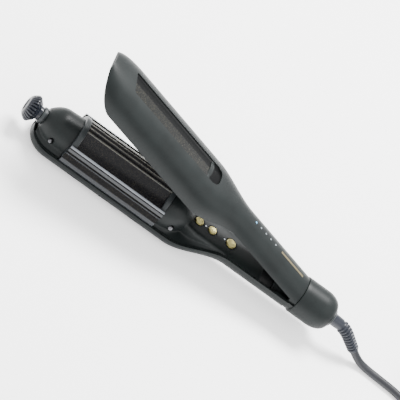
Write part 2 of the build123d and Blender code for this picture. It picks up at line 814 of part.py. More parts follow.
with BuildPart() as plate_frame:
    for side in (-1, 1):
        with BuildSketch(ahead(231)):
            Polygon(
                (side * 18.9, 7.0), (side * 22.9, 7.0), (side * 22.2, 8.2), (side * 18.9, 8.2), align=None
            )
        extrude(amount=90)
save(plate_frame, "plate_frame")

liner_bottom = 14.0         # above the handle's axis; the drum's collars pass under it
liner_height = 1.5
with BuildPart() as slot_liner:
    with BuildSketch(arm_top.offset(liner_bottom)):
        with Locations((-(plate_front + plate_rear) / 2, 0)):
            Rectangle(plate_front - plate_rear - 1, 2 * slot_half_width + 1.8)
            Rectangle(plate_front - plate_rear, 2 * slot_half_width + 0.2, mode=Mode.SUBTRACT)
    extrude(amount=liner_height)
save(slot_liner, "slot_liner")

# The screen dips between the slot's edges, and a flat floor closes the slot's rear pocket behind the rim.
screen_low = 16.3           # its middle line at its lowest, above the handle's axis
screen_thickness = 0.4
screen_dip = 0.8
screen_half_width = slot_half_width - 0.1
with BuildPart() as slot_screen:
    with BuildSketch(ahead(slot_front)):
        with BuildLine():
            high = screen_low + screen_dip
            ThreePointArc((-screen_half_width, high), (0, screen_low), (screen_half_width, high))
            offset(amount=screen_thickness / 2)
        make_face()
    extrude(amount=slot_front - plate_rear - 0.1)
    with BuildSketch(ahead(plate_rear - rim_width - 0.3)):
        with Locations((0, screen_low + screen_thickness / 2)):
            Rectangle(2 * screen_half_width, screen_thickness)
    extrude(amount=plate_rear - rim_width - 0.3 - slot_rear)
    with BuildSketch(arm_top):
        with Locations((-(slot_front + slot_rear) / 2, 0)):
            RectangleRounded(slot_front - slot_rear - 0.2, 2 * screen_half_width, 5.9)
    extrude(amount=40, mode=Mode.INTERSECT)
save(slot_screen, "slot_screen")

# ---- Lead --------------------------------------------------------------------------------------------
# The strain relief droops out of the cap, the lead runs along the table to a tied hank, and its plug lies
# on the hank.
droop = radians(36)
relief_straight = 4.2
relief_bend = 28.0
relief_tail = 18.0
bend_start = (ring_end_x + relief_straight, 0, handle_z)
bend_end = (
    bend_start[0] + relief_bend * sin(droop),
    0,
    handle_z - relief_bend * (1 - cos(droop)),
)
relief_end = (bend_end[0] + relief_tail * cos(droop), 0, bend_end[2] - relief_tail * sin(droop))

with BuildPart() as strain_relief:
    with BuildLine():
        Line((ring_end_x, 0, handle_z), bend_start)
        TangentArc(bend_start, bend_end, tangent=(1, 0, 0))
        Line(bend_end, relief_end)
    with BuildSketch(handle_axis.offset(ring_end_x)):
        Circle(relief_radius)
    sweep()
save(strain_relief, "strain_relief")

hank_x = 349.0              # the hank's waist, where its tie is
hank_y = 10.0
hank_run = 61.0             # from the waist to where the folds start
hank_waist = 7.0            # from the hank's middle line to the middle of each run, at the waist
hank_fold = 24.5            # radius of the folds, at the middle of the run
hank_band = 2 * cord_radius     # half of a run's width, which is two cords
hank_height = 4 * cord_radius   # two cords
hole_start = 14.0           # from the waist to where the runs part

lead_route = [
    relief_end,
    (201.2, 0, 6.7),
    (211.1, 0, 3.5),
    (228, -1.2, 3.5),
    (245, -2.2, 3.5),
    (259, -6.0, 3.5),
    (272, -13.0, 3.5),
]
tail_route = [
    (hank_x - 61, hank_y - 28, 17.5),
    (hank_x - 45, hank_y - 24.3, 17.5),
    (hank_x - 30, hank_y - 17.5, 17.6),
    (hank_x - 16, hank_y - 12, 18.8),
    (hank_x - 3, hank_y - 9, 20.6),
    (hank_x + 9, hank_y - 9.3, 21),
    (hank_x + 20.3, hank_y - 11.9, 21),
]


def bend_radii(route):
    """The largest arc that fits each corner of a route."""
    radii = []
    for before, corner, after in zip(route, route[1:], route[2:]):
        arriving = Vector(*corner) - Vector(*before)
        leaving = Vector(*after) - Vector(*corner)
        turn = radians(arriving.get_angle(leaving))
        radii.append(0.45 * min(arriving.length, leaving.length) / tan(turn / 2))
    return radii


for label, route in (("cord", lead_route), ("cord_tail", tail_route)):
    radii = bend_radii(route)
    print(label, "bend radii", [round(radius, 1) for radius in radii])
    with BuildPart() as lead:
        with BuildLine() as lead_path:
            FilletPolyline(*route, radius=radii)
        with BuildSketch(Plane(origin=route[0], z_dir=Vector(*route[1]) - Vector(*route[0]))):
            Circle(cord_radius)
        sweep()
    section = pi * cord_radius**2
    path_length = sum(edge.length for edge in lead_path.edges())
    print(label, "volume over section times length", lead.part.volume / section / path_length)
    save(lead, label)


def beside_run(u, shift):
    """Point that far outside the middle of the hank's upper run, u ahead of the waist."""
    t = abs(u) / hank_run
    widening = hank_fold - hank_waist
    slope = copysign(6 * widening * t * (1 - t) / hank_run, u)
    reach = shift / sqrt(1 + slope**2)
    return (u - reach * slope, hank_waist + widening * smooth(t) + reach)


def mirrored(points):
    return [(u, -v) for u, v in points]


tie_half_width = 5.0
tie_thickness = 1.4
tie_half_span = hank_waist + hank_band + 0.4

with BuildPart() as cord_hank:
    with BuildSketch(Plane((hank_x, hank_y, 0))):
        with BuildLine():
            edge = [beside_run(u, hank_band) for u in spread(-hank_run, hank_run, 9)]
            end = hank_run + hank_fold + hank_band
            Spline(*edge, tangents=[(1, 0), (1, 0)])
            Spline(*mirrored(edge), tangents=[(1, 0), (1, 0)])
            ThreePointArc(edge[-1], (end, 0), mirrored(edge)[-1])
            ThreePointArc(edge[0], (-end, 0), mirrored(edge)[0])
        make_face()
        for way in (-1, 1):
            with BuildLine():
                edge = [beside_run(way * u, -hank_band) for u in spread(hole_start, hank_run, 6)]
                end = way * (hank_run + hank_fold - hank_band)
                Spline(*edge)
                Spline(*mirrored(edge))
                ThreePointArc(edge[-1], (end, 0), mirrored(edge)[-1])
                Line(edge[0], mirrored(edge)[0])
            make_face(mode=Mode.SUBTRACT)
    extrude(amount=hank_height)
    with BuildSketch(Plane((hank_x, hank_y, 0))):
        Rectangle(2 * tie_half_width + 0.4, 4 * tie_half_span)
    extrude(amount=tie_thickness, mode=Mode.SUBTRACT)
save(cord_hank, "cord_hank")

with BuildPart() as cord_tie:
    with BuildSketch(Plane.YZ.offset(hank_x - tie_half_width)):
        with Locations((hank_y, (hank_height + tie_thickness) / 2)):
            RectangleRounded(
                2 * (tie_half_span + tie_thickness), hank_height + tie_thickness, tie_thickness + 0.4
            )
        with Locations((hank_y, (hank_height + tie_thickness) / 2)):
            Rectangle(2 * tie_half_span, hank_height - tie_thickness, mode=Mode.SUBTRACT)
    extrude(amount=2 * tie_half_width)
save(cord_tie, "cord_tie")

plug_start = Vector(*tail_route[-1])
plug_heading = (plug_start - Vector(*tail_route[-2])).normalized()
plug_axis = Plane(origin=plug_start, x_dir=plug_heading.cross(Vector(0, 0, 1)), z_dir=plug_heading)
plug_length = 42.0
plug_width = 26.0
plug_height = 14.0
with BuildPart() as plug:
    with BuildSketch(plug_axis):
        Circle(cord_radius + 1)
    extrude(amount=16)
    with BuildSketch(plug_axis.offset(14)) as plug_neck:
        RectangleRounded(15, 11, 4)
    with BuildSketch(plug_axis.offset(24)) as plug_waist:
        RectangleRounded(plug_width - 2, plug_height, 5)
    with BuildSketch(plug_axis.offset(plug_length)) as plug_face:
        RectangleRounded(plug_width, plug_height, 5)
    loft([plug_neck.sketch, plug_waist.sketch, plug_face.sketch], ruled=True)
save(plug, "plug")

with BuildPart() as plug_pins:
    with BuildSketch(plug_axis.offset(plug_length)):
        with GridLocations(12.7, 0, 2, 1):
            Rectangle(1.5, 6.4)
    extrude(amount=17)
save(plug_pins, "plug_pins")
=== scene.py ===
"""Looks of the hair crimper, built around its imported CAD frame.

Lengths are in millimetres until a mesh is made, and the frame's axes are the CAD's: +Z up, the knob end
towards -X, the lead towards +X. Stations along the lower arm are x; stations along the hood are distances
ahead of the hinge, in the hood's own closed frame, which stands open by open_angle at rest.
"""

import json
import math
from math import cos, pi, radians, sin, sqrt

import bmesh
import bpy
from mathutils import Matrix, Vector


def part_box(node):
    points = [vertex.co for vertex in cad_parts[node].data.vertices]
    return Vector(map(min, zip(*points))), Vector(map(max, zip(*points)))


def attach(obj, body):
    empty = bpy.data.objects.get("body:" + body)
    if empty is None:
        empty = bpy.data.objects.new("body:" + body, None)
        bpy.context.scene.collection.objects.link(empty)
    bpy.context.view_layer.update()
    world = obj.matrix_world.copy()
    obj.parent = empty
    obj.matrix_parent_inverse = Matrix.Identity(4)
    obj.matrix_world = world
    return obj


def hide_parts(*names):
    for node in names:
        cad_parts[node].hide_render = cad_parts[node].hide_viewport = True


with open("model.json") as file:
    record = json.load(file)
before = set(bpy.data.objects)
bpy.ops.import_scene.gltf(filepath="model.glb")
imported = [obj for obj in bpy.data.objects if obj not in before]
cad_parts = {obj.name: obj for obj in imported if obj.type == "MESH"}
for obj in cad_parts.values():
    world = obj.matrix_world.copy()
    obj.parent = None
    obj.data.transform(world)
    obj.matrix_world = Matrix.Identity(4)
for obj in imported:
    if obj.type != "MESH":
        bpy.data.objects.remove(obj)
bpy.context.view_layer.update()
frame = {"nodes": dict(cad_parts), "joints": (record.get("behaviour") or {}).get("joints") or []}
MM = 0.001


# ---- Places, read from the frame ----
def low(node):
    """Lowest corner of a CAD node, in millimetres."""
    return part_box(node)[0] / MM


def high(node):
    """Highest corner of a CAD node, in millimetres."""
    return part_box(node)[1] / MM


joints = {joint["name"]: joint for joint in frame["joints"]}
hinge = Vector(joints["arm_hinge"]["pos_m"]) / MM
open_angle = radians(joints["arm_hinge"]["range_deg"][1])
drum_z = joints["drum_turn"]["pos_m"][2] / MM
drum_mid = joints["drum_turn"]["pos_m"][0] / MM
handle_z = hinge.z
forward = Vector((-cos(open_angle), 0, sin(open_angle)))
upward = Vector((sin(open_angle), 0, cos(open_angle)))


def on_hood(distance, y, height):
    """Point in the hood's frame: ahead of the hinge, sideways, above the handle's axis."""
    return hinge + forward * distance + Vector((0, y, 0)) + upward * height


def between(a, b, t):
    return a + (b - a) * t


def clamp(t):
    return min(1.0, max(0.0, t))


def smooth(t):
    t = clamp(t)
    return t * t * (3 - 2 * t)


def spread(start, stop, count):
    return [between(start, stop, i / (count - 1)) for i in range(count)]


# ---- Materials ----
def new_material(name):
    material = bpy.data.materials.new(name)
    material.use_nodes = True
    nodes = material.node_tree.nodes
    return material, nodes, material.node_tree.links, nodes["Principled BSDF"]


def add_bump(nodes, links, shader, height, strength, distance):
    bump = nodes.new("ShaderNodeBump")
    bump.inputs["Strength"].default_value = strength
    bump.inputs["Distance"].default_value = distance * MM
    links.new(height, bump.inputs["Height"])
    links.new(bump.outputs["Normal"], shader.inputs["Normal"])


def object_noise(nodes, links, scale, detail=3.0, stretch=(1, 1, 1)):
    """Noise in object space; scale is in cycles per metre."""
    place = nodes.new("ShaderNodeTexCoord")
    mapping = nodes.new("ShaderNodeMapping")
    mapping.inputs["Scale"].default_value = stretch
    noise = nodes.new("ShaderNodeTexNoise")
    noise.inputs["Scale"].default_value = scale
    noise.inputs["Detail"].default_value = detail
    links.new(place.outputs["Object"], mapping.inputs["Vector"])
    links.new(mapping.outputs["Vector"], noise.inputs["Vector"])
    return noise


def ramp(nodes, links, source, stops):
    """Colour ramp with (position, colour) stops."""
    node = nodes.new("ShaderNodeValToRGB")
    elements = node.color_ramp.elements
    elements[0].position, elements[0].color = stops[0][0], (*stops[0][1], 1)
    elements[1].position, elements[1].color = stops[-1][0], (*stops[-1][1], 1)
    for position, colour in stops[1:-1]:
        elements.new(position).color = (*colour, 1)
    links.new(source, node.inputs["Fac"])
    return node


def grey(value):
    return (value, value, value)


def light_up(links, shader, tint, strength):
    """Make a lens glow in its own tint."""
    links.new(tint.outputs["Color"], shader.inputs["Base Color"])
    links.new(tint.outputs["Color"], shader.inputs["Emission Color"])
    shader.inputs["Emission Strength"].default_value = strength
    shader.inputs["Roughness"].default_value = 0.25


def moulded(name, colour, roughness, grain=0.12, mottling=0.12, coat=0.0, specular=0.5):
    """Moulded plastic: fine spark-eroded grain, faint mottling of colour and gloss."""
    material, nodes, links, shader = new_material(name)
    clouds = object_noise(nodes, links, 60)
    darker = tuple(c * (1 - mottling) for c in colour)
    lighter = tuple(c * (1 + mottling) for c in colour)
    tint = ramp(nodes, links, clouds.outputs["Fac"], [(0.35, darker), (0.65, lighter)])
    links.new(tint.outputs["Color"], shader.inputs["Base Color"])
    gloss = ramp(
        nodes, links, clouds.outputs["Fac"], [(0.3, grey(roughness - 0.04)), (0.7, grey(roughness + 0.04))]
    )
    links.new(gloss.outputs["Color"], shader.inputs["Roughness"])
    shader.inputs["Coat Weight"].default_value = coat
    shader.inputs["Coat Roughness"].default_value = 0.25
    shader.inputs["Specular IOR Level"].default_value = specular
    fine = object_noise(nodes, links, 2600, 2.0)
    add_bump(nodes, links, shader, fine.outputs["Fac"], grain, 0.05)
    return material


def speckled_ceramic(name, base, flake, roughness=0.3, amount=0.8, specular=0.28):
    """Glossy black ceramic coat with fine mineral flakes in it."""
    material, nodes, links, shader = new_material(name)
    place = nodes.new("ShaderNodeTexCoord")
    grains = nodes.new("ShaderNodeTexVoronoi")
    grains.inputs["Scale"].default_value = 3200
    links.new(place.outputs["Object"], grains.inputs["Vector"])
    separate = nodes.new("ShaderNodeSeparateColor")
    links.new(grains.outputs["Color"], separate.inputs["Color"])
    warm = tuple(c * f for c, f in zip(flake, (1.0, 0.92, 0.7)))
    tint = ramp(
        nodes, links, separate.outputs["Red"],
        [
            (0.0, base), (amount, base), (amount + 0.1, tuple(2 * c for c in base)), (0.96, warm),
            (1.0, flake),
        ],
    )
    links.new(tint.outputs["Color"], shader.inputs["Base Color"])
    gloss = ramp(
        nodes, links, separate.outputs["Green"], [(0.2, grey(roughness)), (0.9, grey(roughness + 0.2))]
    )
    links.new(gloss.outputs["Color"], shader.inputs["Roughness"])
    shader.inputs["Specular IOR Level"].default_value = specular
    shader.inputs["Coat Weight"].default_value = 0.04
    shader.inputs["Coat Roughness"].default_value = 0.12
    add_bump(nodes, links, shader, separate.outputs["Blue"], 0.08, 0.02)
    return material


def metal(name, colour, roughness, brushed=(1, 1, 1), scale=900, strength=0.15):
    """Metal with fine brushing along the axis that brushed leaves unstretched."""
    material, nodes, links, shader = new_material(name)
    lines = object_noise(nodes, links, scale, 2.0, brushed)
    tint = ramp(
        nodes, links, lines.outputs["Fac"],
        [(0.3, tuple(c * 0.82 for c in colour)), (0.7, tuple(min(1, c * 1.1) for c in colour))],
    )
    links.new(tint.outputs["Color"], shader.inputs["Base Color"])
    shader.inputs["Metallic"].default_value = 1.0
    gloss = ramp(
        nodes, links, lines.outputs["Fac"], [(0.3, grey(roughness * 0.8)), (0.7, grey(roughness * 1.3))]
    )
    links.new(gloss.outputs["Color"], shader.inputs["Roughness"])
    add_bump(nodes, links, shader, lines.outputs["Fac"], strength, 0.02)
    return material


def lamp(name, colour, strength):
    """A lit lens: milky plastic that glows a little."""
    material, nodes, links, shader = new_material(name)
    haze = object_noise(nodes, links, 900)
    tint = ramp(nodes, links, haze.outputs["Fac"], [(0.3, tuple(0.85 * c for c in colour)), (0.7, colour)])
    light_up(links, shader, tint, strength)
    return material


def row_lamp(name, first, rest, strength):
    """A row of lit lenses along X, of which the one furthest forward has its own colour."""
    material, nodes, links, shader = new_material(name)
    place = nodes.new("ShaderNodeTexCoord")
    apart = nodes.new("ShaderNodeSeparateXYZ")
    links.new(place.outputs["Object"], apart.inputs["Vector"])
    along = nodes.new("ShaderNodeMapRange")
    along.inputs["From Min"].default_value = low("temperature_lights").x * MM
    along.inputs["From Max"].default_value = high("temperature_lights").x * MM
    links.new(apart.outputs["X"], along.inputs["Value"])
    tint = ramp(nodes, links, along.outputs["Result"], [(0.1, first), (0.14, rest)])
    light_up(links, shader, tint, strength)
    return material


shell_paint = moulded("soft_touch_charcoal", (0.0076, 0.0098, 0.0098), 0.44, grain=0.12, specular=0.14)
cover_paint = moulded("satin_charcoal", (0.0076, 0.0097, 0.0097), 0.42, specular=0.16, grain=0.15)
collar_paint = moulded("collar_grey", (0.021, 0.0245, 0.026), 0.38, specular=0.25)
knob_paint = moulded("knob_blue_black", (0.005, 0.0068, 0.0115), 0.28, coat=0.05, specular=0.36)
relief_paint = moulded("relief_blue_black", (0.008, 0.010, 0.016), 0.38, grain=0.2, specular=0.35)
cable_paint = moulded("cable_black", (0.009, 0.010, 0.013), 0.42, grain=0.25, specular=0.35)
dark_moulding = moulded("inner_black", (0.0014, 0.0017, 0.0019), 0.5, specular=0.07)
# Grey for the rails' flat bands: a painted reflection on their black ceramic coat.
rail_painted_reflection = moulded("rail_grey_reflection", (0.014, 0.0165, 0.0195), 0.26, grain=0.05, coat=0.05, specular=0.4)
# Pale grey for the rails' inner edges: a painted highlight.
rail_edge_highlight = moulded("rail_edge_painted_highlight", (0.17, 0.185, 0.205), 0.24, grain=0.05, coat=0.2, specular=0.45)
board_paint = moulded("board_green", (0.01, 0.09, 0.035), 0.4)
heater_paint = moulded("heater_amber", (0.55, 0.3, 0.08), 0.35)
ceramic = speckled_ceramic("drum_ceramic", (0.002, 0.002, 0.003), (0.045, 0.042, 0.033), 0.27, 0.86, 0.2)
groove_ceramic = speckled_ceramic(
    "groove_ceramic", (0.0015, 0.0015, 0.002), (0.04, 0.038, 0.032), 0.42, 0.88, 0.07
)
# Pale speckled ceramic for the drum's crests: a painted highlight along each crest line.
painted_crest_highlight = speckled_ceramic("painted_crest_highlight", (0.06, 0.061, 0.058), (0.16, 0.155, 0.135), 0.3, 0.6)
channel_ceramic = speckled_ceramic(
    "channel_ceramic", (0.003, 0.0035, 0.0035), (0.035, 0.035, 0.031), 0.45, 0.7, 0.1
)
press_ceramic = speckled_ceramic(
    "press_ceramic", (0.003, 0.003, 0.0035), (0.06, 0.056, 0.045), 0.42, 0.8, 0.15
)
gold = metal("button_gold", (0.34, 0.3, 0.125), 0.36, (1, 1, 1), 1400, 0.1)
steel = metal("bright_steel", (0.42, 0.43, 0.44), 0.28, (1, 8, 8))
screw_steel = metal("screw_steel", (0.16, 0.16, 0.17), 0.32)
muted_gold = metal("muted_gold", (0.2, 0.17, 0.1), 0.4)
aluminium = metal("turned_aluminium", (0.7, 0.71, 0.73), 0.3, (8, 1, 1))
bronze = metal("sintered_bronze", (0.3, 0.2, 0.1), 0.4)
white_lamp = lamp("white_lamp", (0.5, 0.55, 0.6), 0.25)
row_light = row_lamp("row_light", (0.16, 0.4, 0.62), (0.16, 0.18, 0.19), 0.5)


# ---- Mesh helpers ----
def new_object(name, data):
    item = bpy.data.objects.new(name, data)
    bpy.context.scene.collection.objects.link(item)
    return item


def make_piece(name, points, faces, body, materials, slot=None, replaces=(), smooth_angle=35.0):
    """A mesh piece from points in millimetres, riding on a CAD body."""
    mesh = bpy.data.meshes.new(name)
    mesh.from_pydata([Vector(p) * MM for p in points], [], faces)
    mesh.validate()
    piece = new_object(name, mesh)
    for material in materials if isinstance(materials, (list, tuple)) else [materials]:
        mesh.materials.append(material)
    tidy_normals(mesh)
    for polygon in mesh.polygons:
        polygon.use_smooth = True
    mesh.set_sharp_from_angle(angle=radians(smooth_angle))
    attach(piece, body)
    if replaces:
        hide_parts(*replaces)
    return piece


def tidy_normals(mesh):
    work = bmesh.new()
    work.from_mesh(mesh)
    bmesh.ops.remove_doubles(work, verts=work.verts, dist=0.002 * MM)
    bmesh.ops.dissolve_degenerate(work, dist=0.001 * MM, edges=work.edges)
    bmesh.ops.recalc_face_normals(work, faces=work.faces)
    work.to_mesh(mesh)
    work.free()


def grid_faces(row_count, column_count, closed=False, skip=None):
    """Quads between rows of equal length; skip(row, column) leaves a quad out."""
    faces = []
    wide = column_count if closed else column_count - 1
    for i in range(row_count - 1):
        near, far = i * column_count, (i + 1) * column_count
        for j in range(wide):
            if skip and skip(i, j):
                continue
            k = (j + 1) % column_count
            faces.append((near + j, near + k, far + k, far + j))
    return faces


def loft_faces(rows, closed=True, caps=True, skip=None):
    """Faces of a skin over rows of points, with flat ends if caps."""
    count = len(rows[0])
    faces = grid_faces(len(rows), count, closed, skip)
    if caps:
        faces += [tuple(range(count)), tuple(range((len(rows) - 1) * count, len(rows) * count))]
    return faces


def lofted(name, rows, body, materials, closed=True, caps=True, skip=None, **facts):
    faces = loft_faces(rows, closed, caps, skip)
    return make_piece(name, [p for row in rows for p in row], faces, body, materials, **facts)


def turned(name, profile, centre, body, materials, segments=96, closed_profile=False, **facts):
    """Solid of revolution about a line along X: profile holds (x, radius) pairs."""
    angles = [2 * pi * k / segments for k in range(segments)]
    rows = [
        [(x, centre[0] + radius * cos(a), centre[1] + radius * sin(a)) for a in angles]
        for x, radius in profile
    ]
    if closed_profile:
        rows.append(rows[0])
    return lofted(name, rows, body, materials, caps=not closed_profile, **facts)


def bevel(piece, width, segments=2, angle=35.0):
    modifier = piece.modifiers.new("edges", "BEVEL")
    modifier.width = width * MM
    modifier.segments = segments
    modifier.limit_method = "ANGLE"
    modifier.angle_limit = radians(angle)
    modifier.harden_normals = True


def thicken(piece, wall):
    """Give a skin a wall, with the second material inside."""
    modifier = piece.modifiers.new("thickness", "SOLIDIFY")
    modifier.thickness = wall * MM
    modifier.offset = -1.0
    modifier.use_even_offset = True
    modifier.material_offset = 1
    modifier.material_offset_rim = 0


def cut(piece, cutter_rows):
    """Take closed lofts out of a piece for good."""
    for rows in cutter_rows:
        mesh = bpy.data.meshes.new("cutter")
        mesh.from_pydata([Vector(p) * MM for row in rows for p in row], [], loft_faces(rows))
        tidy_normals(mesh)
        cutter = new_object("cutter", mesh)
        modifier = piece.modifiers.new("cut", "BOOLEAN")
        modifier.operation = "DIFFERENCE"
        modifier.solver = "EXACT"
        modifier.object = cutter
        apply_modifiers(piece)
        bpy.data.objects.remove(cutter)
        bpy.data.meshes.remove(mesh)


def apply_modifiers(piece):
    bpy.context.view_layer.update()
    evaluated = piece.evaluated_get(bpy.context.evaluated_depsgraph_get())
    mesh = bpy.data.meshes.new_from_object(evaluated)
    old = piece.data
    piece.modifiers.clear()
    piece.data = mesh
    mesh.name = old.name
    bpy.data.meshes.remove(old)


def disc_rows(centre, axis, radii_and_heights, segments=40):
    """Rows of circles along an axis, for turned pieces and cutters in any direction."""
    axis = Vector(axis).normalized()
    side = axis.orthogonal().normalized()
    other = axis.cross(side)
    return [
        [
            Vector(centre) + axis * height
            + (side * cos(2 * pi * k / segments) + other * sin(2 * pi * k / segments)) * radius
            for k in range(segments)
        ]
        for radius, height in radii_and_heights
    ]


def joined(name, pieces):
    """Join loose pieces on one body into one."""
    bpy.ops.object.select_all(action="DESELECT")
    for piece in pieces:
        piece.select_set(True)
    bpy.context.view_layer.objects.active = pieces[0]
    bpy.ops.object.join()
    pieces[0].name = name
    return pieces[0]


def half_curve(half_width, rise, centre_height, power, count=120):
    """Fine points from the crown out to the side of a superellipse, as (y, height)."""
    return [
        (
            half_width * abs(sin(a)) ** (2 / power),
            centre_height + rise * abs(cos(a)) ** (2 / power),
        )
        for a in spread(0, pi / 2, count)
    ]


def cut_at(points, share_points):
    """Points at the given shares of a polyline's length."""
    lengths = [0.0]
    for a, b in zip(points, points[1:]):
        lengths.append(lengths[-1] + math.hypot(b[0] - a[0], b[1] - a[1]))
    found, index = [], 0
    for share in share_points:
        target = share * lengths[-1]
        while index < len(lengths) - 2 and lengths[index + 1] < target:
            index += 1
        span = lengths[index + 1] - lengths[index] or 1.0
        t = (target - lengths[index]) / span
        a, b = points[index], points[index + 1]
        found.append((between(a[0], b[0], t), between(a[1], b[1], t)))
    return found


# ---- Stage, light and camera ----
camera_back = Vector((-0.235, -0.704, 0.670)).normalized()
camera_up = Vector((-0.570, 0.658, 0.492))
camera_up = (camera_up - camera_up.dot(camera_back) * camera_back).normalized()
camera_right = camera_up.cross(camera_back)
frame_width = 327.9         # millimetres that the picture spans at the drum
lens = 250.0
sensor = 36.0
aim_right, aim_down = 67.1, 24.8    # from the drum's middle to the picture's, across the view
floor_reach = 4.0           # metres
floor_glow = 0.7
sky_strength = 1.9
lit_point = (0, 0, 0.03)    # metres


def make_camera():
    data = bpy.data.cameras.new("camera")
    data.lens = lens
    data.sensor_width = sensor
    camera = new_object("camera", data)
    aim = Vector((drum_mid, 0, drum_z)) + camera_right * aim_right - camera_up * aim_down
    camera.matrix_world = Matrix((
        (camera_right.x, camera_up.x, camera_back.x, 0),
        (camera_right.y, camera_up.y, camera_back.y, 0),
        (camera_right.z, camera_up.z, camera_back.z, 0),
        (0, 0, 0, 1),
    ))
    camera.location = (aim + camera_back * frame_width * lens / sensor) * MM
    data.clip_start = 0.1
    data.clip_end = 20
    bpy.context.scene.camera = camera


def make_area_light(name, place, size, power):
    data = bpy.data.lights.new(name, "AREA")
    data.shape = "RECTANGLE"
    data.size, data.size_y = size
    data.energy = power
    light = new_object(name, data)
    light.location = place
    light.rotation_mode = "QUATERNION"
    light.rotation_quaternion = (Vector(lit_point) - Vector(place)).to_track_quat("-Z", "Y")


def make_stage():
    mesh = bpy.data.meshes.new("floor")
    signs = [(-1, -1), (1, -1), (1, 1), (-1, 1)]
    mesh.from_pydata([(floor_reach * a, floor_reach * b, 0) for a, b in signs], [], [(0, 1, 2, 3)])
    floor = new_object("floor", mesh)
    material, nodes, links, shader = new_material("floor_white")
    clouds = object_noise(nodes, links, 3)
    tint = ramp(nodes, links, clouds.outputs["Fac"], [(0.3, grey(0.93)), (0.7, grey(0.96))])
    links.new(tint.outputs["Color"], shader.inputs["Base Color"])
    shader.inputs["Roughness"].default_value = 0.7
    shader.inputs["Specular IOR Level"].default_value = 0.1
    shader.inputs["Emission Color"].default_value = (1, 1, 1, 1)
    shader.inputs["Emission Strength"].default_value = floor_glow
    mesh.materials.append(material)
    world = bpy.data.worlds.new("world")
    bpy.context.scene.world = world
    world.use_nodes = True
    world.node_tree.nodes["Background"].inputs["Color"].default_value = (1, 1, 1, 1)
    world.node_tree.nodes["Background"].inputs["Strength"].default_value = sky_strength
    make_area_light("key", (0.2, 0.75, 1.6), (0.8, 0.6), 105)
    make_area_light("fill", (0.9, -0.5, 0.9), (0.8, 0.8), 6)


make_camera()
make_stage()


# ---- Hood ----
hood_half_width = high("upper_shell").y
handle_radius = 16.4
hood_top = 17.4
hood_rim = -6.0
handle_rim = 3.4
jaw_from = 130.0
handle_to = 83.0
nose_from = 234.0
nose_rim_from = 238.0
nose_tip = 266.6
nose_overrun = 3.5          # how far past the tip the nose's sides would meet
nose_fullness = 2.3
nose_drop = 0.9             # of the crown, where the sides would meet
nose_lip = 3.8              # from the hood's top down to the rim, at the tip
rim_curl = 1.5
hood_centre = -2.6
hood_fullness = 2.35
slot_rear, slot_front = 128.0, 242.0
slot_half = 9.6
slot_round = 6.0            # corner radius at the slot's rear end
slot_square = 1.6           # and at its front end, which slants by slot_slant to each side
slot_slant = 2.6
hood_wall = 1.6
cap_gap = 1.6               # between the handle's end and the end cap's plane
slot_margin = 6             # stations lie close together this far past the slot's ends
tip_length = 6              # and over this last stretch of the nose


def hood_numbers(distance):
    """Half width, crown, centre height, rim height and fullness of the hood's section."""
    t = smooth((distance - handle_to) / (jaw_from - handle_to))
    half_width = between(handle_radius, hood_half_width, t)
    crown = between(handle_radius, hood_top, t)
    centre = between(0, hood_centre, t)
    rim = between(handle_rim, hood_rim, t)
    power = between(2.0, hood_fullness, t)
    if distance > nose_from:
        reach = (distance - nose_from) / (nose_tip + nose_overrun - nose_from)
        share = (1 - reach ** nose_fullness) ** (1 / nose_fullness)
        half_width = hood_half_width * share
        crown = between(hood_top - nose_drop, hood_top, share)
        centre = between(crown - 6, centre, share)
    if distance > nose_rim_from:
        lift = (distance - nose_rim_from) / (nose_tip - nose_rim_from)
        rim = between(hood_rim, hood_top - nose_lip, lift ** rim_curl)
    return half_width, crown, centre, rim, power


def hood_side(distance):
    """One side of the hood's section, from the slot's edge out and down to the rim."""
    half_width, crown, centre, rim, power = hood_numbers(distance)
    curve = half_curve(half_width, crown - centre, centre, power)
    inner = min(slot_half, 0.6 * half_width)
    start = [(y, z) for y, z in curve if y > inner]
    t = clamp((inner / half_width) ** power)
    start.insert(0, (inner, centre + (crown - centre) * (1 - t) ** (1 / power)))
    if rim < centre:
        start.append((half_width, rim))
        return start
    kept = [start[0]]
    for a, b in zip(start, start[1:]):
        if b[1] < rim:
            share = (a[1] - rim) / max(1e-6, a[1] - b[1])
            kept.append((between(a[0], b[0], clamp(share)), min(rim, a[1])))
            break
        kept.append(b)
    return kept


side_columns = 26
top_columns = 13


def hood_section(distance):
    """Points of the hood's section from the near rim over the top to the far rim."""
    half_width, crown, centre, _, power = hood_numbers(distance)
    side = cut_at(hood_side(distance), spread(0, 1, side_columns))
    inner = side[0][0]
    top = []
    for y in spread(-inner, inner, top_columns)[1:-1]:
        share = clamp(abs(y) / half_width) ** power
        top.append((y, centre + (crown - centre) * (1 - share) ** (1 / power)))
    near = [(-y, z) for y, z in reversed(side)]
    return near + top + side


def slot_end(distance_end, y, direction):
    """Where the slot ends at y: round at the rear, nearly square and slanted at the front."""
    corner = slot_round if direction > 0 else slot_square
    over = max(0.0, abs(y) - (slot_half - corner))
    slant = 0.0 if direction > 0 else slot_slant * y / slot_half - 1.0
    return distance_end + slant + direction * (corner - sqrt(max(0.0, corner ** 2 - over ** 2)))


def hood_stations():
    return (
        spread(0, handle_to, 18)[:-1] + spread(handle_to, slot_rear - slot_margin, 18)[:-1]
        + spread(slot_rear - slot_margin, slot_rear, 4)[:-1] + spread(slot_rear, slot_front, 40)[:-1]
        + spread(slot_front, slot_front + slot_margin, 4)[:-1]
        + spread(slot_front + slot_margin, nose_tip - tip_length, 14)[:-1]
        + [nose_tip - tip_length + (tip_length - 0.1) * sin(a) for a in spread(0, pi / 2, 9)]
    )


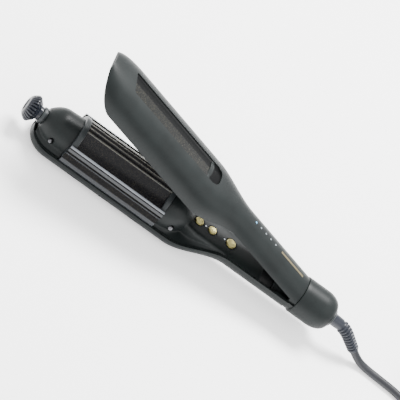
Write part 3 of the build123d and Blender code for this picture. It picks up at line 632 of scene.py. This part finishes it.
def build_hood():
    stations = hood_stations()
    rows = []
    for index, distance in enumerate(stations):
        row = []
        for y, height in hood_section(distance):
            place = distance
            if abs(y) < slot_half + 0.01 and slot_rear - 0.1 < distance < slot_front + 0.1:
                rear = slot_end(slot_rear, y, 1)
                front = slot_end(slot_front, y, -1)
                share = (distance - slot_rear) / (slot_front - slot_rear)
                place = between(rear, front, share)
            if index == 0:
                place = (height * sin(open_angle) - cap_gap) / cos(open_angle)
            row.append(on_hood(place, y, height))
        rows.append(row)
    # A last row level with the rim closes the nose.
    section = hood_section(stations[-1])
    rows.append([on_hood(stations[-1], y, section[0][1]) for y, _ in section])
    stations.append(stations[-1])
    first_top = side_columns - 1
    last_top = side_columns + top_columns - 2

    def in_slot(i, j):
        middle = (stations[i] + stations[i + 1]) / 2
        return first_top <= j < last_top and slot_rear < middle < slot_front

    piece = lofted(
        "hood_shell", rows, "hood", [shell_paint, dark_moulding], closed=False, caps=False, skip=in_slot,
        slot="shell", replaces=["upper_shell"],
    )
    thicken(piece, hood_wall)
    bevel(piece, 0.45, 3, 50)


build_hood()

# Floor of the slot as (y, height): a long slope from the near edge, a deep line, and the far wall.
channel_line = [
    (-9.9, 15.9), (-9.2, 15.9), (-7, 16.15), (-4, 16.32), (0, 16.42), (2, 16.3), (4, 15.97), (5.8, 15.57),
    (7.4, 15.3), (8.6, 15.45), (9.9, 15.9),
]
channel_wall = 0.3
# Stations ahead of the hinge, and how far the line is lifted there: a strip crosses the floor.
strip_from, strip_to = 138.9, 141.6
speckled_from = 141.9
channel_bands = [
    (127.2, 0.0), (138.6, 0.0), (strip_from, 0.12), (strip_to, 0.12), (speckled_from, 0.0), (244.8, 0.0),
]


def build_channel():
    """Dished floor of the slot, speckled on its near side and painted near-black on its far wall as shade,
    with a strip across it ahead of the rear pocket.
    """
    rows = []
    for distance, lift in channel_bands:
        top = [on_hood(distance, y, z + lift) for y, z in channel_line]
        under = [on_hood(distance, y, z + lift - channel_wall) for y, z in reversed(channel_line)]
        rows.append(top + under)
    piece = lofted(
        "slot_channel", rows, "hood", [dark_moulding, channel_ceramic, cover_paint], slot="ceramic",
        replaces=["slot_screen"], smooth_angle=30,
    )
    for polygon in piece.data.polygons:
        place = polygon.center / MM - hinge
        distance = place.dot(forward)
        strip = strip_from < distance < strip_to
        speckled = place.y < 1 and distance > speckled_from
        # The near side ahead of the strip takes the speckled ceramic; the far wall and the rear pocket take
        # the near-black inner moulding, which on the far wall is painted shade.
        polygon.material_index = 2 if strip else int(speckled)


build_channel()

# ---- Lower shell ----
jaw_half_width = high("lower_shell").y
rim_z = 14.0
tip_x = low("lower_shell").x
jaw_end_x = drum_mid + 65
handle_start_x = drum_mid + 118
shell_end_x = high("lower_shell").x
vent_places = [drum_mid - 29, drum_mid + 2, drum_mid + 33]
vent_z = 7.5
vent_half_length = 4.5
vent_radius = 0.8
vent_reach = 26.0           # the vents' cutters start this far out and go in by vent_depth
vent_depth = 14.0
tray_wall = 1.5
nose_length = 20.0
nose_end_x = tip_x + nose_length


def base_numbers(x):
    """Half width, rim height and bottom height of the lower arm at x."""
    t = smooth((x - jaw_end_x) / (handle_start_x - jaw_end_x))
    half_width = between(jaw_half_width, handle_radius, t)
    rim = between(rim_z, handle_z, t)
    bottom = between(0.0, handle_z - handle_radius, t)
    power = between(2.5, 2.0, t)
    if x < nose_end_x:
        share = sqrt(max(0.0, 1 - ((nose_end_x - x) / nose_length) ** 2))
        half_width = between(0.6, jaw_half_width, share ** 0.8)
        bottom = 7 * (1 - share)
    return half_width, rim, bottom, power


def base_section(x, columns=49):
    half_width, rim, bottom, power = base_numbers(x)
    curve = half_curve(half_width, bottom - rim, rim, power)
    side = cut_at(curve, spread(0, 1, columns // 2 + 1))
    return [(-y, z) for y, z in reversed(side)][:-1] + side


def base_stations():
    nose = [nose_end_x - nose_length * cos(a) for a in spread(0.02, pi / 2, 16)]
    return (
        nose[:-1] + spread(nose_end_x, jaw_end_x, 26)[:-1] + spread(jaw_end_x, handle_start_x, 24)[:-1]
        + spread(handle_start_x, shell_end_x, 16)
    )


def slot_rows(centre, axis, half_length, radius, depth, segments=10):
    """A round-ended slot along X, as two rows for a cutter along axis."""
    axis = Vector(axis).normalized()
    outline = []
    for end, start in ((1, -pi / 2), (-1, pi / 2)):
        for k in range(segments + 1):
            a = start + pi * k / segments
            outline.append((end * (half_length - radius) + radius * cos(a), radius * sin(a)))
    rows = []
    for reach in (0, -depth):
        rows.append([
            Vector(centre) + axis * reach + Vector((1, 0, 0)) * u + axis.cross(Vector((1, 0, 0))) * v
            for u, v in outline
        ])
    return rows


def build_lower_shell():
    rows = [[(x, y, z) for y, z in base_section(x)] for x in base_stations()]
    piece = lofted(
        "tray_shell", rows, "base", [shell_paint, dark_moulding], closed=False, caps=False,
        slot="shell", replaces=["lower_shell"],
    )
    thicken(piece, tray_wall)
    apply_modifiers(piece)
    vents = []
    for x in vent_places:
        for side in (-1, 1):
            centre = (x, side * vent_reach, vent_z)
            vents.append(slot_rows(centre, (0, side, 0), vent_half_length, vent_radius, vent_depth))
    cut(piece, vents)
    bevel(piece, 0.35, 2, 45)


build_lower_shell()

# ---- Tip block and control cover ----
cover_gap = 1.9
screw_rise = radians(50)
tip_screws = (drum_mid - 61.5, 17.2)    # station, and reach to each side
rear_screws = (drum_mid + 62.2, 18.2)
screw_z = drum_z - 1
bay_front = drum_mid - 47.5
bay_rear = drum_mid + 48.5
dome_front = drum_mid - 75
dome_length = 15.5
dome_radius = 17.4
neck_radius = 9.0
rear_dome_radius = 20.0
rear_dome_end = 4.0         # its radius where it runs out under the panel
rear_dome_stop = drum_mid + 78
# The rear block turns into the panel over these stretches, measured from the drum's middle.
widen_from, widen_over = 62, 22
rise_from, rise_over = 60, 20
panel_start = drum_mid + 82
panel_top = handle_z + 1.2
panel_half = 14.0
panel_end = drum_mid + 148
# Each button's own radius; its well and its gold face follow from it.
button_sizes = [("power_button", 4.55), ("raise_button", 4.55), ("lower_button", 5.15)]
well_gap = 0.5
face_inset = 0.6


def polar_section(x, base_z, shelf_half, solids, columns=61, shelf_points=4, soften=6):
    """Section over a shelf: rays from the shelf's middle out to the furthest of several outlines."""
    points = []
    for a in spread(0, pi, columns):
        reach = max(solid(cos(a), sin(a)) for solid in solids)
        points.append([reach * cos(a), base_z + reach * sin(a)])
    for _ in range(soften):
        points = [points[0]] + [
            [(p[0] + 2 * q[0] + r[0]) / 4, (p[1] + 2 * q[1] + r[1]) / 4]
            for p, q, r in zip(points, points[1:], points[2:])
        ] + [points[-1]]
    foot = points[0][0]
    outer = max(shelf_half, foot + 0.05)
    shelf = [(between(outer, foot, i / shelf_points), base_z) for i in range(shelf_points)]
    section = shelf + [tuple(p) for p in points] + [(-y, z) for y, z in reversed(shelf)]
    lowest = base_z - 2.2
    return [(x, outer, lowest)] + [(x, y, z) for y, z in section] + [(x, -outer, lowest)]


def circle_ray(centre_z, radius, base_z):
    """Ray length from (0, base_z) to a circle about (0, centre_z)."""
    rise = centre_z - base_z

    def reach(c, s):
        along = s * rise
        inside = radius ** 2 - rise ** 2 + along ** 2
        return max(0.01, along + sqrt(inside)) if inside > 0 else 0.01
    return reach


def slab_ray(half_width, top, base_z):
    """Ray length from (0, base_z) to a flat-topped slab."""
    rise = top - base_z

    def reach(c, s):
        if rise <= 0.02:
            return 0.01
        return min(half_width / max(1e-6, abs(c)), rise / max(1e-6, s))
    return reach


def screw_rows(place, side, radii_and_heights, segments):
    """Rows of circles about a screw's axis, which leans out by screw_rise."""
    x, reach = place
    axis = (0, side * cos(screw_rise), sin(screw_rise))
    return disc_rows((x, side * reach, screw_z), axis, radii_and_heights, segments)


def screw_wells(place, radius=2.5, depth=4.0):
    return [screw_rows(place, side, [(radius, -depth), (radius, 14)], 36) for side in (-1, 1)]


def tip_radius(x):
    """Radius of the tip block's dome."""
    full = dome_front + dome_length
    if x > full:
        return between(dome_radius, dome_radius + 0.6, (x - full) / (bay_front - full))
    share = clamp((x - dome_front) / dome_length)
    return between(neck_radius, dome_radius, 1 - (1 - share) ** 2.1)


def build_tip_block():
    rows = []
    for x in spread(dome_front, bay_front, 40):
        half_width, rim = base_numbers(x)[:2]
        base_z = rim + 0.4
        shelf = half_width - cover_gap
        flare = slab_ray(min(shelf - 0.3, tip_radius(x) + 2.2), drum_z - 6.5, base_z)
        rows.append(polar_section(
            x, base_z, shelf, [circle_ray(drum_z, tip_radius(x), base_z), flare], soften=5
        ))
    piece = lofted(
        "tip_block", rows, "base", cover_paint, slot="cover", replaces=["tip_cover"], smooth_angle=50
    )
    cut(piece, screw_wells(tip_screws))
    shade(piece, 45)
    bevel(piece, 0.35, 2, 50)


def shade(piece, angle):
    for polygon in piece.data.polygons:
        polygon.use_smooth = True
    piece.data.set_sharp_from_angle(angle=radians(angle))


def rear_radius(x):
    """Radius of the rear block's dome."""
    share = clamp((x - bay_rear) / (rear_dome_stop - bay_rear))
    return between(rear_dome_radius, rear_dome_end, share ** 2.2)


def build_control_cover():
    rows = []
    stations = spread(bay_rear, panel_start, 44)[:-1] + spread(panel_start, panel_end, 40)
    for x in stations:
        half_width, rim = base_numbers(x)[:2]
        base_z = rim + 0.3
        shelf = half_width - cover_gap
        grow = smooth((x - drum_mid - widen_from) / widen_over)
        half = between(8, min(panel_half, shelf - 0.4), grow)
        top = between(drum_z + 3, panel_top, smooth((x - drum_mid - rise_from) / rise_over))
        solids = [slab_ray(half, top, base_z), slab_ray(shelf - 1.2, base_z + 1.0, base_z)]
        if rear_radius(x) > rear_dome_end + 0.2:
            solids.append(circle_ray(drum_z, rear_radius(x), base_z))
        rows.append(polar_section(x, base_z, shelf, solids, columns=81, soften=8))
    piece = lofted(
        "control_deck", rows, "base", cover_paint, slot="cover", replaces=["control_cover"], smooth_angle=50
    )
    cutters = screw_wells(rear_screws)
    for label, radius in button_sizes:
        centre = (low(label) + high(label)) / 2
        well = radius + well_gap
        cutters.append(disc_rows((centre.x, 0, panel_top), (0, 0, 1), [(well, -1.4), (well, 6)]))
    cut(piece, cutters)
    shade(piece, 45)
    bevel(piece, 0.3, 2, 50)


build_tip_block()
build_control_cover()


def build_screws():
    """Socket screws at the bottom of the four wells."""
    profile = [
        (0.05, -4.2), (2.0, -4.2), (2.1, -3.6), (1.95, -3.0), (1.3, -2.6), (0.9, -2.52), (0.85, -3.2),
        (0.05, -3.3),
    ]
    parts = []
    for place in (tip_screws, rear_screws):
        for side in (-1, 1):
            rows = screw_rows(place, side, profile, 32)
            parts.append(lofted(f"screw_{len(parts)}", rows, "base", screw_steel, slot="steel"))
    screws = joined("cover_screw_heads", parts)
    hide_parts("cover_screws")


build_screws()

# ---- Rails ----
# Outline as (radius, degrees above the drum's axis, material) from the lip up to the inner edge. Material 0
# is grey as a painted reflection on the flats, 1 the black groove ceramic, 2 pale as a painted highlight on
# the inner edge.
rail_outline = [
    (24.2, -21.6, 0), (24.2, -19.5, 0), (23.9, -9, 0), (23.7, -7, 1), (22.9, -4, 1), (22.5, 2, 1),
    (22.9, 7.5, 1), (23.7, 8.8, 0), (24.1, 10.0, 0), (23.9, 12.0, 1), (23.1, 13.0, 1), (23.1, 14.8, 1),
    (24.0, 15.9, 0), (24.2, 17.5, 0), (24.2, 22.5, 1), (23.9, 23.6, 1), (23.9, 24.6, 2), (24.1, 25.6, 2),
    (23.7, 28.4, 2), (22.9, 29.2, 1), (22.3, 28.0, 1), (22.2, 15.0, 1), (22.2, 0.0, 1), (22.2, -21.0, 1),
]


def build_rail(label, side, node):
    rows = []
    for x in (bay_front + 0.3, bay_front + 0.6, bay_rear - 0.6, bay_rear - 0.3):
        rows.append([
            (x, side * r * cos(radians(a)), drum_z + r * sin(radians(a))) for r, a, _ in rail_outline
        ])
    piece = lofted(
        label, rows, "base", [rail_painted_reflection, groove_ceramic, rail_edge_highlight], slot="rail", replaces=[node],
        smooth_angle=28,
    )
    count = len(rail_outline)
    for polygon in piece.data.polygons:
        if len(polygon.vertices) != 4:
            polygon.material_index = 0
            continue
        middle = polygon.center / MM
        angle = math.degrees(math.atan2(middle.z - drum_z, side * middle.y))
        radius = math.hypot(middle.y, middle.z - drum_z)
        best = min(
            range(count),
            key=lambda k: abs((rail_outline[k][1] + rail_outline[(k + 1) % count][1]) / 2 - angle)
            + abs((rail_outline[k][0] + rail_outline[(k + 1) % count][0]) / 2 - radius) * 4,
        )
        polygon.material_index = rail_outline[best][2]
    bevel(piece, 0.18, 2, 28)


build_rail("side_rail_near", -1, "rail_left")
build_rail("side_rail_far", 1, "rail_right")

# ---- Drum ----
plates_front = low("crimp_plate").x
plates_rear = high("crimp_plate").x
ridge_radius = 20.5
core_radius = 15.0
# Depth below the ridges within which the crests are painted pale as a highlight.
crest_highlight_band = 0.42


def build_drum_plate(label, node, start, stop, waves, steps, depth, shape):
    """A heated plate: its waved face over a core arc, with rounded crests and a painted highlight along each
    crest.
    """
    count = waves * steps
    outer = []
    for i in range(count + 1):
        angle = radians(between(start + 0.3, stop - 0.3, i / count))
        radius = ridge_radius - depth * shape((i / steps) % 1)
        outer.append((radius * cos(angle), radius * sin(angle)))
    inner = []
    for angle in spread(radians(stop - 0.3), radians(start + 0.3), 24):
        inner.append((core_radius * cos(angle), core_radius * sin(angle)))
    rows = [
        [(x, y, drum_z + z) for y, z in outer + inner]
        for x in (plates_front, plates_rear)
    ]
    piece = lofted(
        label, rows, "drum", [ceramic, painted_crest_highlight], slot="ceramic", replaces=[node], smooth_angle=40
    )
    # Faces near the ridge radius take the pale crest material, a painted highlight.
    for polygon in piece.data.polygons:
        middle = polygon.center / MM
        radius = math.hypot(middle.y, middle.z - drum_z)
        if len(polygon.vertices) == 4 and radius > ridge_radius - crest_highlight_band:
            polygon.material_index = 1
    bevel(piece, 0.12, 2, 40)


def trough(phase):
    return sin(pi * phase) ** 0.8


def notch(phase):
    """A valley with flat sides and small rounds at its crest and floor."""
    return smooth(0.5 + 0.62 * (0.5 - abs(2 * (phase % 1) - 1)) * 1.7)


def ripple(phase):
    return (1 - cos(2 * pi * phase)) / 2


build_drum_plate("deep_wave_face", "deep_wave_plate", 104, 206, 2, 28, 3.4, trough)
build_drum_plate("crimp_face", "crimp_plate", -22, 104, 9, 14, 2.6, notch)
build_drum_plate("fine_wave_face", "fine_wave_plate", 206, 338, 5, 18, 2.6, ripple)


def build_collar(label, node):
    start, stop = low(node).x, high(node).x
    radius = high(node).y
    turned(
        label,
        [(start, 4.2), (start, radius - 0.7), (start + 0.25, radius - 0.2), (start + 0.8, radius),
         (stop - 0.8, radius), (stop - 0.2, radius - 0.25), (stop, radius - 0.7), (stop, 4.2)],
        (0, drum_z), "drum", collar_paint, segments=128, slot="collar", replaces=[node],
    )


build_collar("front_collar", "drum_collar_front")
build_collar("rear_collar", "drum_collar_rear")


def build_knob():
    """Double-coned knob with a straight knurl round its girth."""
    front = low("knob").x
    rear = high("knob").x
    teeth, steps = 26, 8
    knurl_depth = 1.15
    segments = teeth * steps
    profile = [
        (front + 1.2, 0.05, 0), (front + 1.2, 4.6, 0), (front + 0.9, 5.2, 0), (front, 6.2, 0),
        (front, 7.2, 0), (front + 0.4, 8.1, 0), (front + 1.0, 8.8, 0), (front + 1.6, 9.4, 0.35),
        (front + 3.0, 10.5, 1),
        (front + 4.6, 11.55, 1), (front + 5.6, 11.9, 1), (front + 6.6, 11.9, 1), (front + 7.6, 11.5, 1),
        (front + 9.0, 10.0, 1), (front + 9.9, 9.1, 0.2), (rear - 0.6, 8.3, 0), (rear, 7.6, 0),
        (rear + 0.1, 6.3, 0), (rear + 2.6, 6.0, 0), (rear + 2.6, 4.0, 0),
    ]
    rows = []
    for x, radius, knurl in profile:
        row = []
        for k in range(segments):
            groove = max(0.0, sin(2 * pi * k / steps)) ** 0.6 * knurl * knurl_depth
            angle = 2 * pi * k / segments
            row.append((x, (radius - groove) * cos(angle), drum_z + (radius - groove) * sin(angle)))
        rows.append(row)
    lofted("turning_knob", rows, "drum", knob_paint, slot="knob", replaces=["knob"], smooth_angle=40)


build_knob()

turned(
    "neck_bearing",
    [(dome_front - 4.2, 4.05), (dome_front - 4.2, 6.6), (dome_front - 3.9, 7.2), (dome_front - 3.4, 7.4),
     (dome_front - 1.5, 7.4), (dome_front - 1.1, 7.1), (dome_front - 1.0, 6.5), (dome_front - 0.2, 6.5),
     (dome_front + 0.2, 5.9), (high("front_bearing").x, 5.9), (high("front_bearing").x, 4.05)],
    (0, drum_z), "base", collar_paint, closed_profile=True, slot="collar", replaces=["front_bearing"],
)


# ---- Buttons and lamps ----
def build_button(node, radius, body):
    """A dished metal-faced button with a rounded edge."""
    centre = (low(node) + high(node)) / 2
    top = high(node).z
    radius -= face_inset
    rows = disc_rows((centre.x, 0, 0), (0, 0, 1), [
        (0.05, low(node).z), (radius + 1.0, low(node).z + 0.9), (radius, top - 2.2), (radius, top - 0.7),
        (radius - 0.15, top - 0.25), (radius - 0.5, top - 0.02), (radius - 0.85, top),
        (radius - 1.2, top - 0.12), (radius * 0.55, top - 0.3), (radius * 0.25, top - 0.36),
        (0.05, top - 0.38),
    ], 64)
    lofted(f"{node}_face", rows, body, gold, slot="gold", replaces=[node], smooth_angle=60)


for (label, radius), body in zip(button_sizes, ("power", "raise", "lower")):
    build_button(label, radius, body)

# ---- End cap, ring, strain relief ----
cap_front = low("end_cap").x
cap_rear = high("end_cap").x
cap_radius = high("end_cap").y


def build_end_cap():
    crown = cap_front + 21      # where the straight wall ends
    profile = [(cap_front, 13.6), (cap_front, cap_radius - 0.5), (cap_front + 0.15, cap_radius - 0.12),
               (cap_front + 0.6, cap_radius)]
    profile += [(x, cap_radius) for x in spread(cap_front + 4, crown, 5)]
    for a in spread(0, pi / 2, 16)[1:]:
        profile.append((crown + (cap_rear - crown) * sin(a) ** 1.05, 8 + (cap_radius - 8) * cos(a) ** 0.85))
    profile += [(cap_rear - 0.4, 7.4), (cap_rear - 0.4, 3.8), (cap_rear - 2.5, 3.8), (cap_rear - 6, 11),
                (crown, 14.6), (cap_front + 2, 14.6), (cap_front + 2, 13.6)]
    turned("rear_cap", profile, (0, handle_z), "base", shell_paint, closed_profile=True, slot="shell",
           replaces=["end_cap"], smooth_angle=40)


build_end_cap()
ring_rear = high("end_ring").x
turned(
    "cap_ring",
    [(cap_rear - 0.6, 3.7), (cap_rear - 0.6, 8.3), (cap_rear + 0.5, 8.5), (ring_rear - 0.7, 8.1),
     (ring_rear - 0.1, 7.4), (ring_rear, 6.4), (ring_rear, 3.7)],
    (0, handle_z), "base", collar_paint, closed_profile=True, slot="rubber", replaces=["end_ring"],
)

cord_radius = 3.5
droop = radians(36)
relief_bend = 28.0
relief_straight = 4.2
relief_tail = 18.0


def relief_point(along):
    """Centre and heading of the strain relief at a length along it."""
    arc = relief_bend * droop
    start = Vector((ring_rear, 0, handle_z))
    if along < relief_straight:
        return start + Vector((along, 0, 0)), 0.0
    turn = min(droop, (along - relief_straight) / relief_bend)
    point = start + Vector((relief_straight + relief_bend * sin(turn), 0, -relief_bend * (1 - cos(turn))))
    if along > relief_straight + arc:
        rest = along - relief_straight - arc
        point += Vector((cos(droop), 0, -sin(droop))) * rest
    return point, turn


relief_length = relief_straight + relief_bend * droop + relief_tail


def build_strain_relief():
    """A smooth sleeve, then round ribs that taper a little towards the lead."""
    rib_from, pitch = 11.0, 3.1
    rib = [(0.0, 4.75), (0.12, 5.55), (0.28, 5.9), (0.46, 5.85), (0.6, 5.4), (0.68, 4.75)]
    profile = [(0, 5.9), (0.4, 5.6), (8.6, 5.3), (9.6, 4.7)]
    along = rib_from
    while along + pitch < relief_length:
        shrink = 1 - 0.16 * (along - rib_from) / (relief_length - rib_from)
        for share, radius in rib:
            profile.append((along + share * pitch, radius * shrink))
        along += pitch
    profile += [(relief_length - 0.6, 4.3), (relief_length, 3.9), (relief_length, 3.55)]
    rows = []
    for along, radius in profile:
        centre, turn = relief_point(along)
        side = Vector((sin(turn), 0, cos(turn)))
        rows.append([
            centre + (side * cos(2 * pi * k / 40) + Vector((0, 1, 0)) * sin(2 * pi * k / 40)) * radius
            for k in range(40)
        ])
    return lofted("relief_sleeve", rows, "base", relief_paint, slot="rubber", replaces=["strain_relief"],
                  smooth_angle=60)


relief = build_strain_relief()

# ---- Lead ----
relief_exit = relief_point(relief_length)[0]
lead_route = [
    relief_exit,
    (201.2, 0, 6.7),
    (211.1, 0, 3.5),
    (228, -1.2, 3.5),
    (245, -2.2, 3.5),
    (259, -6.0, 3.5),
    (272, -13.0, 3.5),
]
hank_x = 349.0
hank_y = 10.0
tail_route = [
    (hank_x - 45, hank_y - 24.3, 17.5),
    (hank_x - 30, hank_y - 17.5, 17.6),
    (hank_x - 16, hank_y - 12, 18.8),
    (hank_x - 3, hank_y - 9, 20.6),
    (hank_x + 9, hank_y - 9.3, 21),
    (hank_x + 20.3, hank_y - 11.9, 21),
]
hank_run = 61.0             # from the waist to where the folds start
hank_waist = 7.0            # from the hank's middle line to the middle of each run, at the waist
hank_fold = 25.6            # radius of the folds, at the middle of the run
run_steps = 8
fold_steps = 8
turn_steps = 2 * (run_steps + fold_steps)


def hank_line(step, shift):
    """Point beside the middle of the hank's band, shift outside it: the near run, then round to the left."""
    step %= turn_steps
    way = 1 if step < turn_steps / 2 else -1
    step %= turn_steps / 2
    if step <= run_steps:
        u = between(-hank_run, hank_run, step / run_steps)
        t = abs(u) / hank_run
        widening = hank_fold - hank_waist
        slope = math.copysign(6 * widening * t * (1 - t) / hank_run, u)
        reach = shift / sqrt(1 + slope ** 2)
        place = (u - reach * slope, -hank_waist - widening * smooth(t) - reach)
    else:
        angle = pi * (step - run_steps) / fold_steps
        place = (hank_run + (hank_fold + shift) * sin(angle), -(hank_fold + shift) * cos(angle))
    return (hank_x + way * place[0], hank_y + way * place[1])


def hank_points():
    """Four turns: outer, inner, inner, outer, each moving to its neighbour's place on the way home."""
    # Column and layer of each turn, and the share of the way home in which it moves to the next place.
    places = [(1, 0), (-1, 0), (-1, 1), (1, 1), (1, 2)]
    moves = [(0.72, 1.0), (0.48, 0.76), (0.26, 0.54), (0.04, 0.34)]
    home = 1.5 * run_steps + fold_steps
    points = []
    for turn, (start, stop) in enumerate(moves):
        for step in range(turn_steps):
            way_home = (step - home) / (turn_steps - home)
            t = smooth((way_home - start) / (stop - start))
            column = between(places[turn][0], places[turn + 1][0], t)
            layer = between(places[turn][1], places[turn + 1][1], t)
            points.append((*hank_line(step, column * cord_radius), cord_radius * (1 + 2 * layer)))
    points.append((*hank_line(0, cord_radius), 5 * cord_radius))
    return points


def build_cord():
    route = lead_route + hank_points() + tail_route
    curve = bpy.data.curves.new("power_lead", "CURVE")
    curve.dimensions = "3D"
    curve.bevel_depth = cord_radius * MM
    curve.bevel_resolution = 6
    curve.resolution_u = 6
    curve.use_fill_caps = True
    line = curve.splines.new("NURBS")
    line.points.add(len(route) - 1)
    for point, place in zip(line.points, route):
        point.co = (*(Vector(place) * MM), 1)
    line.order_u = 3
    line.use_endpoint_u = True
    piece = new_object("power_lead", curve)
    curve.materials.append(cable_paint)
    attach(piece, "base")
    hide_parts("cord", "cord_hank", "cord_tail")
    return piece


lead = build_cord()


def build_plug():
    """Moulded two-pin plug: a ribbed neck that swells into a flat gripped body."""
    start = Vector(tail_route[-1])
    heading = (start - Vector(tail_route[-2])).normalized()
    side = heading.cross(Vector((0, 0, 1))).normalized()
    up = side.cross(heading)
    stations = [
        (0, 3.6, 3.6, 2), (0.5, 4.5, 4.5, 2), (3, 4.7, 4.7, 2), (3.4, 4.1, 4.1, 2), (5, 4.1, 4.1, 2),
        (5.4, 4.9, 4.9, 2), (8, 5.1, 5.0, 2), (8.4, 4.4, 4.3, 2), (10, 4.4, 4.3, 2), (10.4, 5.4, 5.1, 2),
        (14, 7.5, 5.6, 2.3), (18, 9.8, 6.1, 2.6), (23, 11.7, 6.6, 3), (30, 12.4, 6.8, 3.4),
        (38, 12.9, 6.9, 3.8), (41.2, 12.9, 6.9, 4), (42, 12.3, 6.4, 4),
    ]
    rows = []
    for along, wide, tall, power in stations:
        row = []
        for k in range(48):
            a = 2 * pi * k / 48
            u = wide * math.copysign(abs(cos(a)) ** (2 / power), cos(a))
            v = tall * math.copysign(abs(sin(a)) ** (2 / power), sin(a))
            row.append(start + heading * along + side * u + up * v)
        rows.append(row)
    return lofted("plug_body", rows, "base", relief_paint, slot="rubber", replaces=["plug"], smooth_angle=50)


plug = build_plug()

# ---- CAD nodes that stay ----
node_materials = {
    cover_paint: ["hinge_frame", "plate_rim_front", "plate_rim_rear"],
    dark_moulding: ["slot_liner", "plate_frame", "switches", "cord_tie"],
    press_ceramic: ["plate_left", "plate_right"],
    steel: ["hinge_pin", "arm_spring", "detent_spring", "detent_wheel", "drum_shaft", "plug_pins"],
    aluminium: ["drum_core", "thermal_fuse"],
    bronze: ["rear_bearing"],
    board_paint: ["control_board", "light_board"],
    heater_paint: ["drum_heaters", "heater_left", "heater_right"],
    muted_gold: ["trim_line"],
    white_lamp: ["panel_lights"],
    row_light: ["temperature_lights"],
}
for material, names in node_materials.items():
    for name in names:
        node = frame["nodes"][name]
        node.data.materials.clear()
        node.data.materials.append(material)
